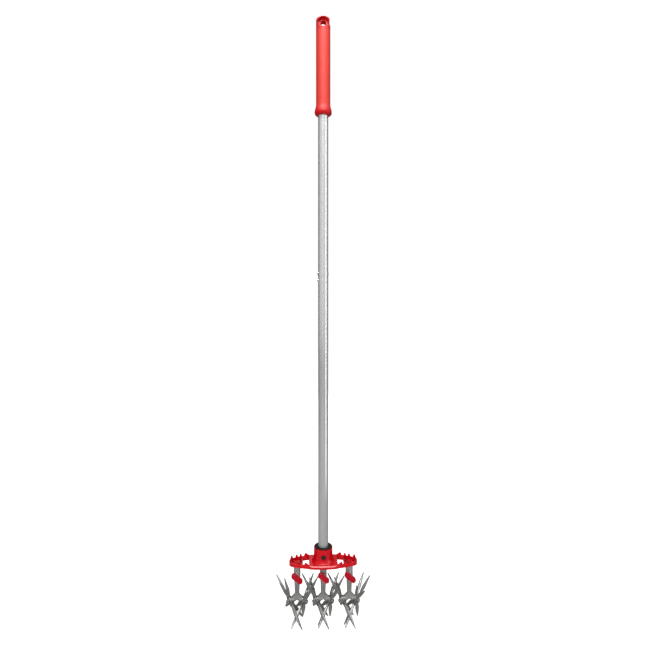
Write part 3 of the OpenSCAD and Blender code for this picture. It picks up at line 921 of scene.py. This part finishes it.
class GeometryTree(Links):
    """A geometry node tree with named inputs, run once for each mesh that it makes."""

    CORNER_STEPS = 4

    def __init__(self, name: str, inputs: Dict[str, str]) -> None:
        """Makes the empty tree with its sockets.

        Args:
            name: The tree's name.
            inputs: Each named input's socket type.
        """
        super().__init__(bpy.data.node_groups.new(name, "GeometryNodeTree"))
        geometry = {"Geometry": "NodeSocketGeometry"}
        self.sockets("INPUT", {**geometry, **inputs, "Material": "NodeSocketMaterial"})
        self.sockets("OUTPUT", geometry)
        self.given = self.add("NodeGroupInput").outputs
        self.made = self.add("NodeGroupOutput").inputs

    def link(self, kind: str, settings: Optional[Dict[str, object]] = None, **inputs: object) -> Socket:
        """Adds a node with its inputs fed by name, with _ for a space, and gives its first output."""
        named = {name.replace("_", " "): source for name, source in inputs.items()}
        return self.add(kind, named, **(settings or {})).outputs[0]

    def vector(self, x: object, y: object, z: object) -> Socket:
        """Joins three values into a vector."""
        return self.link("ShaderNodeCombineXYZ", X=x, Y=y, Z=z)

    def rounded(self, curve: Socket, steps: int, radius: object) -> Socket:
        """Rounds the corners of a curve, each in a number of steps."""
        return self.link("GeometryNodeFilletCurve", {"mode": "POLY"}, Curve=curve, Count=steps, Radius=radius)

    def profile(self, width: object, height: object, radius: object) -> Socket:
        """Draws a rectangle with rounded corners."""
        sharp = self.link("GeometryNodeCurvePrimitiveQuadrilateral", Width=width, Height=height)
        return self.rounded(sharp, self.CORNER_STEPS, radius)

    def finish(self, geometry: Socket) -> None:
        """Ends the tree with smooth, plain geometry in the given material.

        Args:
            geometry: The geometry to put out.
        """
        smooth = self.link("GeometryNodeSetShadeSmooth", Geometry=geometry)
        real = self.link("GeometryNodeRealizeInstances", Geometry=smooth)
        dressed = self.link("GeometryNodeSetMaterial", Geometry=real, Material=self.given["Material"])
        self.feed(self.made["Geometry"], dressed)

    def mesh(
        self, values: Dict[str, object], material: bpy.types.Material, base: Optional[Mesh] = None
    ) -> Mesh:
        """Runs the tree.

        Args:
            values: The named inputs' values.
            material: The finish.
            base: The mesh that the tree is given, if it needs one.

        Returns:
            A plain mesh with its faces outward.
        """
        holder = added(self.tree.name, base or bpy.data.meshes.new(self.tree.name))
        modifier = holder.modifiers.new(self.tree.name, "NODES")
        modifier.node_group = self.tree
        items = self.tree.interface.items_tree
        identifiers = {item.name: item.identifier for item in items if item.in_out == "INPUT"}
        for label, value in {**values, "Material": material}.items():
            modifier[identifiers[label]] = value
        mesh = taken_mesh(holder)
        work = bmesh.new()
        work.from_mesh(mesh)
        bmesh.ops.recalc_face_normals(work, faces=work.faces)
        work.to_mesh(mesh)
        work.free()
        return mesh


@dataclass(frozen=True)
class StarSizes:
    """The sizes of one star, each an input of the star's tree."""

    bore_radius: float = 6.02 * MM
    disc_radius: float = 13.0 * MM
    disc_thickness: float = 3.0 * MM
    tip_radius: float = 63.5 * MM
    root_width: float = 7.6 * MM
    middle_width: float = 7.2 * MM
    tip_width: float = 2.8 * MM
    swell_thickness: float = 7.2 * MM
    tip_thickness: float = 2.2 * MM
    middle_share: float = 0.55
    swell_share: float = 0.35
    splay: float = 1.0 * MM
    skin: float = 0.5 * MM

    def by_input(self) -> Dict[str, float]:
        """Gives each size under the name of its input."""
        return {item.name.replace("_", " ").title(): getattr(self, item.name) for item in fields(self)}


class StarTree(GeometryTree):
    """Grows a star: a ring with rounded edges, and rough tapered tines turned evenly round it."""

    RING_STEPS = 72
    RING_CORNER_SHARE = 0.22
    TINE_SIDES = 20
    TINE_STEPS = 28
    STEP_CROWDING = 1.7
    ROOT_SHARE = 0.85
    BLUNT_FROM_SHARE = 0.94
    BLUNT_SHARE = 0.85
    SQUARENESS = 0.42
    TRUE_SHARE = 0.7
    LUMP_SCALE = 260.0
    LUMP_DETAIL = 2.0
    NOISE_MIDDLE = (0.5, 0.5, 0.5)

    def __init__(self) -> None:
        """Builds the tree."""
        floats = {name: FLOAT for name in (*StarSizes().by_input(), "Seed")}
        super().__init__("star", {"Tines": "NodeSocketInt", **floats})
        joined = self.add("GeometryNodeJoinGeometry")
        for part in (self._disc(), self._tines()):
            self.tree.links.new(part, joined.inputs[0])
        self.finish(self._roughened(self.link("GeometryNodeRealizeInstances", Geometry=joined.outputs[0])))

    def _disc(self) -> Socket:
        """Sweeps the ring's rounded section round the axle."""
        bore, rim, thick = (self.given[name] for name in ("Bore Radius", "Disc Radius", "Disc Thickness"))
        middle = self.times(self.math("ADD", bore, rim), 0.5)
        circle = self.link("GeometryNodeCurvePrimitiveCircle", Resolution=self.RING_STEPS, Radius=middle)
        path = self.link("GeometryNodeSetCurveNormal", {"mode": "Z_UP"}, Curve=circle)
        section = self.profile(self.minus(rim, bore), thick, self.times(thick, self.RING_CORNER_SHARE))
        return self.link("GeometryNodeCurveToMesh", Curve=path, Profile_Curve=section)

    def _taper(self, reach: Socket, turn: str, start: str, middle: str, end: str) -> Socket:
        """Grades a size along a tine in two straight runs.

        Args:
            reach: The share of the way out from the disc's rim.
            turn: The input that holds the share where the runs meet.
            start: The input that holds the size at the rim.
            middle: The input that holds the size where the runs meet.
            end: The input that holds the size at the tip.

        Returns:
            The size.
        """
        given = self.given
        first = self.remap(reach, 0.0, given[turn], given[start], given[middle])
        second = self.remap(reach, given[turn], 1.0, 0.0, self.minus(given[end], given[middle]))
        return self.math("ADD", first, second)

    def _tines(self) -> Socket:
        """Shapes one tine from a unit rod and repeats it round the axle."""
        rod = self.link(
            "GeometryNodeMeshCylinder",
            Vertices=self.TINE_SIDES,
            Side_Segments=self.TINE_STEPS,
            Radius=1.0,
            Depth=1.0,
        )
        spot = self.add("ShaderNodeSeparateXYZ", {0: self.link("GeometryNodeInputPosition")}).outputs
        left = self.math("MAXIMUM", self.minus(0.5, spot["Z"]), 0.0)
        along = self.minus(1.0, self.math("POWER", left, self.STEP_CROWDING))
        rim, tip = self.given["Disc Radius"], self.given["Tip Radius"]
        out = self.remap(along, 0.0, 1.0, self.times(rim, self.ROOT_SHARE), tip)
        reach = self.math("DIVIDE", self.minus(out, rim), self.minus(tip, rim))
        width = self._taper(reach, "Middle Share", "Root Width", "Middle Width", "Tip Width")
        thick = self._taper(reach, "Swell Share", "Disc Thickness", "Swell Thickness", "Tip Thickness")
        ending = self.remap(reach, self.BLUNT_FROM_SHARE, 1.0)
        blunt = self.minus(1.0, self.times(self.times(ending, ending), self.BLUNT_SHARE))
        half = self.times(self.math("SQRT", blunt), 0.5)
        lean = self.times(self.math("MAXIMUM", reach, 0.0), self.given["Splay"])
        across = self.times(self._squared(spot["X"]), self.times(width, half))
        deep = self.times(self._squared(spot["Y"]), self.times(thick, half))
        place = self.vector(out, across, self.math("ADD", deep, lean))
        tine = self.link("GeometryNodeSetPosition", Geometry=rod, Position=place)
        points = self.link("GeometryNodePoints", Count=self.given["Tines"])
        step = self.math("DIVIDE", math.tau, self.given["Tines"])
        turn = self.times(self.link("GeometryNodeInputIndex"), step)
        spin = self.link("FunctionNodeEulerToRotation", Euler=self.vector(0.0, 0.0, turn))
        return self.link("GeometryNodeInstanceOnPoints", Points=points, Instance=tine, Rotation=spin)

    def _squared(self, value: Socket) -> Socket:
        """Pushes a circle's coordinate out towards a square with rounded corners."""
        size = self.math("POWER", self.math("ABSOLUTE", value), self.SQUARENESS)
        return self.times(self.math("SIGN", value), size)

    def _roughened(self, geometry: Socket) -> Socket:
        """Gives the tines a lumpy cast skin and leaves the disc's middle true.

        Args:
            geometry: The plain star.

        Returns:
            The rough star.
        """
        place, rim = self.link("GeometryNodeInputPosition"), self.given["Disc Radius"]
        inputs = {
            "Vector": place,
            "W": self.given["Seed"],
            "Scale": self.LUMP_SCALE,
            "Detail": self.LUMP_DETAIL,
        }
        lumps = self.add("ShaderNodeTexNoise", inputs, noise_dimensions="4D").outputs["Color"]
        shift = self.vectors("SUBTRACT", lumps, self.NOISE_MIDDLE).outputs[0]
        length = self.vectors("LENGTH", place).outputs["Value"]
        rough = self.times(self.remap(length, self.times(rim, self.TRUE_SHARE), rim), self.given["Skin"])
        moved = self.add("ShaderNodeVectorMath", {0: shift, "Scale": rough}, operation="SCALE").outputs[0]
        return self.link("GeometryNodeSetPosition", Geometry=geometry, Offset=moved)


class CoilTree(GeometryTree):
    """Winds a coil spring along Z from the origin."""

    TURN_STEPS = 36
    WIRE_SIDES = 14

    def __init__(self) -> None:
        """Builds the tree."""
        names = ("Turns", "Mean Radius", "Length", "Wire Radius")
        super().__init__("coil", {name: FLOAT for name in names})
        turns, mean, length, wire = (self.given[name] for name in names)
        path = self.link(
            "GeometryNodeCurveSpiral",
            Resolution=self.TURN_STEPS,
            Rotations=turns,
            Start_Radius=mean,
            End_Radius=mean,
            Height=length,
        )
        section = self.link("GeometryNodeCurvePrimitiveCircle", Resolution=self.WIRE_SIDES, Radius=wire)
        self.finish(self.link("GeometryNodeCurveToMesh", Curve=path, Profile_Curve=section, Fill_Caps=True))


class StripTree(GeometryTree):
    """Bends a flat strip along the corners of the line that it is given."""

    BEND_STEPS = 10
    EDGE_SHARE = 0.3

    def __init__(self) -> None:
        """Builds the tree."""
        names = ("Width", "Thickness", "Bend Radius")
        super().__init__("strip", {name: FLOAT for name in names})
        width, thick, bend = (self.given[name] for name in names)
        line = self.link("GeometryNodeMeshToCurve", Mesh=self.given["Geometry"])
        path = self.rounded(line, self.BEND_STEPS, bend)
        section = self.profile(thick, width, self.times(thick, self.EDGE_SHARE))
        self.finish(self.link("GeometryNodeCurveToMesh", Curve=path, Profile_Curve=section, Fill_Caps=True))


class Workshop:
    """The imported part, its finishes and its node trees, and the ways to put a finished piece on it."""

    def __init__(self, frame: Dict[str, object]) -> None:
        """Makes every material and tree.
        """
        self.nodes: Dict[str, bpy.types.Object] = frame["nodes"]
        groups = EffectGroups()
        self.materials: Dict[Slot, bpy.types.Material] = {made.slot: made.make(groups) for made in FINISHES}
        self.star, self.coil, self.strip = StarTree(), CoilTree(), StripTree()

    def place(
        self, name: str, mesh: Mesh, slot: Slot, body: str, stands_for: Sequence[str]
    ) -> bpy.types.Object:
        """Puts a finished mesh on a body.

        Args:
            name: The piece's name.
            mesh: The mesh, already in its place.
            slot: The finish that it gets.
            body: The body that it rides on.
            stands_for: The CAD nodes that it replaces.

        Returns:
            The piece.
        """
        mesh.name = name
        mesh.materials.clear()
        mesh.materials.append(self.materials[slot])
        piece = added(name, mesh)
        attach(piece, body)
        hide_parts(*stands_for)
        LOG.info("made %s in %s on %s, %d faces", name, slot.value, body, len(mesh.polygons))
        return piece

    def rounded(
        self,
        name: str,
        node: str,
        edges: EdgeRound,
        slot: Slot,
        body: str = ROOT_BODY,
        roll: Optional[FrontRoll] = None,
    ) -> None:
        """Puts a copy of a CAD node with rounded edges on a body, after a broad roll if it has one."""
        self.place(name, edges.copy(self.nodes[node], roll), slot, body, [node])


def sheet(name: str, width: float, height: float) -> Tuple[Mesh, Links]:
    """Makes a flat sheet round the origin, with a material of its own.

    Args:
        name: The mesh's and the material's name.
        width: Its size along X.
        height: Its size along Y.

    Returns:
        The mesh, and the links of its material's empty tree.
    """
    x, y = width / 2, height / 2
    mesh = bpy.data.meshes.new(name)
    mesh.from_pydata([(-x, -y, 0.0), (x, -y, 0.0), (x, y, 0.0), (-x, y, 0.0)], [], [(0, 1, 2, 3)])
    material = bpy.data.materials.new(name)
    mesh.materials.append(material)
    return mesh, cleared(material)


@dataclass(frozen=True)
class Panel:
    """A flat thing that hangs in the studio, faces a point and stays out of the picture."""

    name: str
    place: Point
    target: Point
    width: float
    height: float
    power: float

    def build(self) -> None:
        """Makes the panel, which each kind does in its own way."""
        raise NotImplementedError

    def hang(self, data: bpy.types.ID) -> bpy.types.Object:
        """Hangs the panel in its place.

        Args:
            data: Its mesh or lamp, whose -Z faces the target.

        Returns:
            The panel's object.
        """
        item = added(self.name, data)
        item.location = self.place
        item.rotation_euler = (Vector(self.target) - Vector(self.place)).to_track_quat("-Z", "Y").to_euler()
        item.visible_camera = False
        return item


class Card(Panel):
    """A card that only shiny pieces reflect. Its power is its brightness beside white."""

    def build(self) -> None:
        """Makes the card."""
        mesh, links = sheet(self.name, self.width, self.height)
        glow = links.add("ShaderNodeEmission", {"Color": rgba(grey(self.power))})
        links.add("ShaderNodeOutputMaterial", {"Surface": glow.outputs[0]})
        card = self.hang(mesh)
        card.visible_diffuse = False
        card.visible_shadow = False


class Softbox(Panel):
    """A lamp that shiny pieces don't reflect. Its power is in watts."""

    def build(self) -> None:
        """Makes the lamp."""
        data = bpy.data.lights.new(self.name, "AREA")
        data.shape = "RECTANGLE"
        data.size = self.width
        data.size_y = self.height
        data.energy = self.power
        self.hang(data).visible_glossy = False


@dataclass
class Studio:
    """The camera at the photograph's viewing angle, the pale floor and the soft light."""

    image_px: float = 646.0
    focal_px: float = 511.0
    eye_x_px: float = 323.2
    eye_y_px: float = 298.5
    eye_distance: float = 1.155
    eye_height: float = 0.7391
    eye_turn: float = math.radians(2.5)
    sensor: float = 36.0
    nearest: float = 0.01
    farthest: float = 100.0
    ambient: float = 0.08
    floor_size: float = 12.0
    floor_drop: float = 0.5 * MM
    floor_tint: Colour = grey(0.86)
    floor_in_gloss: Colour = grey(0.5)
    floor_lift: float = 0.88
    shadow_reach: float = 0.3
    white_reach: float = 1.1
    panels: Tuple[Panel, ...] = (
        Softbox("key", (-0.6, -2.5, 1.2), (0.0, 0.0, 0.7), 0.8, 1.4, 38.0),
        Softbox("back", (0.6, 2.5, 1.2), (0.0, 0.0, 0.7), 0.8, 1.4, 38.0),
        Softbox("top", (0.1, -0.75, 2.3), (0.0, 0.0, 0.3), 1.0, 0.6, 20.0),
        Card("dark card", (-1.15, 0.88, 0.75), (0.0, -0.58, 0.75), 2.7, 3.0, 0.02),
        Card("grey card", (1.15, 0.88, 0.75), (0.0, -0.58, 0.75), 2.7, 3.0, 0.2),
        Card("bright card", (0.62, -0.32, 0.8), (0.0, 0.0, 0.8), 0.26, 1.5, 4.4),
        Card("ceiling card", (0.0, -1.2, 2.4), (0.0, -1.2, 0.0), 1.6, 2.2, 22.0),
    )

    def build(self) -> None:
        """Makes the camera, world, floor, lamps and cards."""
        self._camera()
        self._world()
        self._floor()
        for panel in self.panels:
            panel.build()
        bpy.context.scene.view_settings.view_transform = "Standard"
        LOG.info("studio built")

    def _camera(self) -> None:
        """Stands the camera level in front of the pole, with the photograph's framing in its shift."""
        data = bpy.data.cameras.new("camera")
        data.sensor_width = self.sensor
        data.lens = self.focal_px / self.image_px * self.sensor
        data.shift_x = (self.image_px / 2 - self.eye_x_px) / self.image_px
        data.shift_y = (self.eye_y_px - self.image_px / 2) / self.image_px
        data.clip_start = self.nearest
        data.clip_end = self.farthest
        camera = added("camera", data)
        aside, ahead = math.sin(self.eye_turn), math.cos(self.eye_turn)
        camera.location = (-self.eye_distance * aside, -self.eye_distance * ahead, self.eye_height)
        camera.rotation_euler = (math.pi / 2, 0.0, -self.eye_turn)
        bpy.context.scene.camera = camera

    def _world(self) -> None:
        """Makes a background that is white to the camera and in a gloss, with a weak ambient light."""
        world = bpy.data.worlds.new("studio")
        bpy.context.scene.world = world
        links = cleared(world)
        path = links.add("ShaderNodeLightPath").outputs
        gloss = links.math("MAXIMUM", path["Is Glossy Ray"], path["Is Transmission Ray"])
        seen = links.math("MAXIMUM", path["Is Camera Ray"], gloss)
        strength = links.remap(seen, 0.0, 1.0, self.ambient, 1.0)
        back = links.add("ShaderNodeBackground", {"Color": rgba(grey(1.0)), "Strength": strength})
        links.add("ShaderNodeOutputWorld", {"Surface": back.outputs[0]})

    def _floor(self) -> None:
        """Lays a pale floor that keeps the shadow near the tool and fades to white farther out."""
        mesh, links = sheet("floor", self.floor_size, self.floor_size)
        path = links.add("ShaderNodeLightPath").outputs
        tint = links.mix_colour(path["Is Glossy Ray"], rgba(self.floor_tint), rgba(self.floor_in_gloss))
        matt = links.add("ShaderNodeBsdfDiffuse", {"Color": tint})
        spot = links.add("ShaderNodeTexCoord").outputs["Object"]
        reach = links.vectors("LENGTH", spot).outputs["Value"]
        lift = links.remap(reach, self.shadow_reach, self.white_reach, self.floor_lift, 1.0)
        glow = links.add("ShaderNodeEmission", {"Strength": links.times(path["Is Camera Ray"], lift)})
        both = links.add("ShaderNodeAddShader", {0: matt.outputs[0], 1: glow.outputs[0]})
        links.add("ShaderNodeOutputMaterial", {"Surface": both.outputs[0]})
        floor = added("floor", mesh)
        floor.location.z = -self.floor_drop


@dataclass(frozen=True)
class LeafSpring:
    """The bent clip behind each snap button, which the button presses towards the far wall of the sleeve."""

    front_x: float = -6.41 * MM
    back_x: float = 8.625 * MM
    width: float = 5.0 * MM
    thickness: float = 0.8 * MM
    bend: float = 4.5 * MM
    travel: float = 2.2 * MM

    def build(self, shop: Workshop, snap: SnapButton) -> None:
        """Bends the clip of one button.

        Args:
            shop: The workshop that places it.
            snap: The button.
        """
        button, near = snap.label, snap.near
        inset = self.thickness / 2
        top = snap.far - math.copysign(inset, snap.far - near)
        front, back = self.front_x + inset, self.back_x - inset
        line = bpy.data.meshes.new("clip line")
        corners = [(front, 0.0, near), (front, 0.0, top), (back, 0.0, top), (back, 0.0, near)]
        line.from_pydata(corners, [(0, 1), (1, 2), (2, 3)], [])
        sizes = {"Width": self.width, "Thickness": self.thickness, "Bend Radius": self.bend}
        mesh = shop.strip.mesh(sizes, shop.materials[Slot.SPRING_STEEL], line)
        clip = shop.place(button + "_clip", mesh, Slot.SPRING_STEEL, ROOT_BODY, [button + "_spring"])
        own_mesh(clip)


@dataclass
class Pole:
    """The grip, the two tubes and the snap joint between them."""

    grip_round: EdgeRound = EdgeRound(1.1 * MM, 3)
    tube_round: EdgeRound = EdgeRound(0.3 * MM)
    button_round: EdgeRound = EdgeRound(0.25 * MM)
    leaf: LeafSpring = LeafSpring()

    def build(self, shop: Workshop) -> None:
        """Makes the pole's pieces.

        Args:
            shop: The workshop that places them.
        """
        shop.rounded("grip_shell", "grip", self.grip_round, Slot.GRIP_RED)
        for tube in ("upper_tube", "lower_tube"):
            shop.rounded(tube + "_skin", tube, self.tube_round, Slot.TUBE_SILVER)
        shop.rounded("coupler_sleeve", "tube_coupler", self.tube_round, Slot.STEEL)
        for snap in SnapButton:
            shop.rounded(snap.label + "_head", snap.label, self.button_round, Slot.STEEL, snap.label)
            self.leaf.build(shop, snap)


@dataclass
class HeadFrame:
    """The red frame with its socket, the bushing and the handle bolt."""

    roll: FrontRoll = FrontRoll()
    frame_round: EdgeRound = EdgeRound(0.7 * MM, 3)
    ring_round: EdgeRound = EdgeRound(0.4 * MM, 3)
    bolt_round: EdgeRound = EdgeRound(0.2 * MM)

    def build(self, shop: Workshop) -> None:
        """Makes the frame's pieces.

        Args:
            shop: The workshop that places them.
        """
        shop.rounded("head_moulding", "head_frame", self.frame_round, Slot.FRAME_RED, roll=self.roll)
        shop.rounded("bushing_ring", "tube_bushing", self.ring_round, Slot.BUSHING_BLACK)
        for made, node in (("bolt_body", "handle_bolt"), ("nut_body", "handle_nut")):
            shop.rounded(made, node, self.bolt_round, Slot.BOLT_BLACK)


@dataclass(frozen=True)
class LockCoil:
    """The coil spring round each lock pin, pressed by the pin's collar against the front of its chamber."""

    front_y: float = -17.5 * MM
    back_y: float = -6.7 * MM
    z: float = 119.7 * MM
    mean_radius: float = 3.65 * MM
    wire_radius: float = 0.5 * MM
    turns: float = 4.4
    travel: float = 6.0 * MM

    def build(self, shop: Workshop, pair: Pair) -> None:
        """Winds the coil of one lock.

        Args:
            shop: The workshop that places it.
            pair: The pair that the lock holds.
        """
        sizes = {
            "Turns": self.turns,
            "Mean Radius": self.mean_radius,
            "Length": self.back_y - self.front_y - 2 * self.wire_radius,
            "Wire Radius": self.wire_radius,
        }
        mesh = shop.coil.mesh(sizes, shop.materials[Slot.SPRING_STEEL])
        foot = Matrix.Translation((pair.x, self.front_y + self.wire_radius, self.z))
        mesh.transform(foot @ Matrix.Rotation(-math.pi / 2, 4, "X"))
        lock = pair.label + "_lock"
        coil = shop.place(lock + "_coil", mesh, Slot.SPRING_STEEL, ROOT_BODY, [lock + "_spring"])
        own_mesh(coil)


@dataclass
class CarrierSet:
    """The three carriers with their locks."""

    body_round: EdgeRound = EdgeRound(0.6 * MM)
    knob_round: EdgeRound = EdgeRound(0.6 * MM, 3)
    pin_round: EdgeRound = EdgeRound(0.25 * MM)
    coil: LockCoil = LockCoil()

    def build(self, shop: Workshop) -> None:
        """Makes the carriers, knobs, pins and springs.

        Args:
            shop: The workshop that places them.
        """
        for pair in Pair:
            carrier, lock = pair.label + "_carrier", pair.label + "_lock"
            knob, pin = lock + "_knob", lock + "_pin"
            shop.rounded(carrier + "_casting", carrier, self.body_round, Slot.CAST_GREY)
            shop.rounded(knob + "_grip", knob, self.knob_round, Slot.KNOB_RED, lock)
            shop.rounded(pin + "_rod", pin, self.pin_round, Slot.STEEL, lock)
            self.coil.build(shop, pair)


@dataclass
class WheelSet:
    """The six star wheels with their hubs, axles and caps."""

    offset: float = 15.5 * MM
    height: float = 57.752 * MM
    tilt: float = math.radians(28.0)
    toe: float = math.radians(7.0)
    tines: int = 4
    star_gap: float = 0.6 * MM
    seed_step: float = 3.7
    star: StarSizes = StarSizes()
    hub_round: EdgeRound = EdgeRound(0.35 * MM)
    axle_round: EdgeRound = EdgeRound(0.3 * MM)

    def build(self, shop: Workshop) -> None:
        """Makes the wheels' pieces.

        Args:
            shop: The workshop that places them.
        """
        seed = 0.0
        for pair in Pair:
            for side in Side:
                wheel = f"{pair.label}_pair_{side.label}"
                body = wheel + "_wheel"
                for star in WheelStar:
                    values = {**self.star.by_input(), "Tines": self.tines, "Seed": seed}
                    values["Splay"] *= star.outward
                    mesh = shop.star.mesh(values, shop.materials[Slot.STAR_STEEL])
                    mesh.transform(self._place(pair, side, star))
                    node = f"{wheel}_{star.label}"
                    shop.place(node + "_tines", mesh, Slot.STAR_STEEL, body, [node])
                    seed += self.seed_step
                hub, axle = wheel + "_hub", wheel + "_axle"
                shop.rounded(hub + "_barrel", hub, self.hub_round, Slot.HUB_STEEL, body)
                shop.rounded(axle + "_pin", axle, self.axle_round, Slot.STEEL)
        shop.rounded("axle_cap_domes", "axle_caps", self.axle_round, Slot.HUB_STEEL)

    def _place(self, pair: Pair, side: Side, star: WheelStar) -> Matrix:
        """Finds where a star stands on its axle at rest.

        The tines of a wheel's two stars alternate, half a step apart. Each wheel stands a quarter of that
        pitch from upright, so that neighbouring wheels interleave.

        Args:
            pair: The wheel's pair.
            side: The wheel's side of the pair.
            star: Which of the wheel's stars it is.

        Returns:
            The star's place.
        """
        upright = math.atan2(math.sin(self.toe), math.sin(self.tilt) * math.cos(self.toe))
        pitch = math.tau / self.tines / 2
        stand = (upright if side is Side.LEFT else math.pi - upright) + pitch / 4
        if star is WheelStar.INNER:
            stand += pitch
        middle = (self.star_gap + self.star.disc_thickness) / 2
        return (
            Matrix.Translation((pair.x + side.sign * self.offset, 0.0, self.height))
            @ Matrix.Rotation(-side.sign * self.toe, 4, "Z")
            @ Matrix.Rotation(side.sign * (math.pi / 2 + self.tilt), 4, "Y")
            @ Matrix.Translation((0.0, 0.0, star.outward * middle))
            @ Matrix.Rotation(stand, 4, "Z")
        )


def main() -> None:
    """Builds the studio and every sub-assembly in order."""
    logging.basicConfig(level=logging.INFO, format="%(name)s: %(message)s")
    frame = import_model()
    Studio().build()
    shop = Workshop(frame)
    for assembly in (Pole(), HeadFrame(), CarrierSet(), WheelSet()):
        assembly.build(shop)


if __name__ == "__main__":
    main()
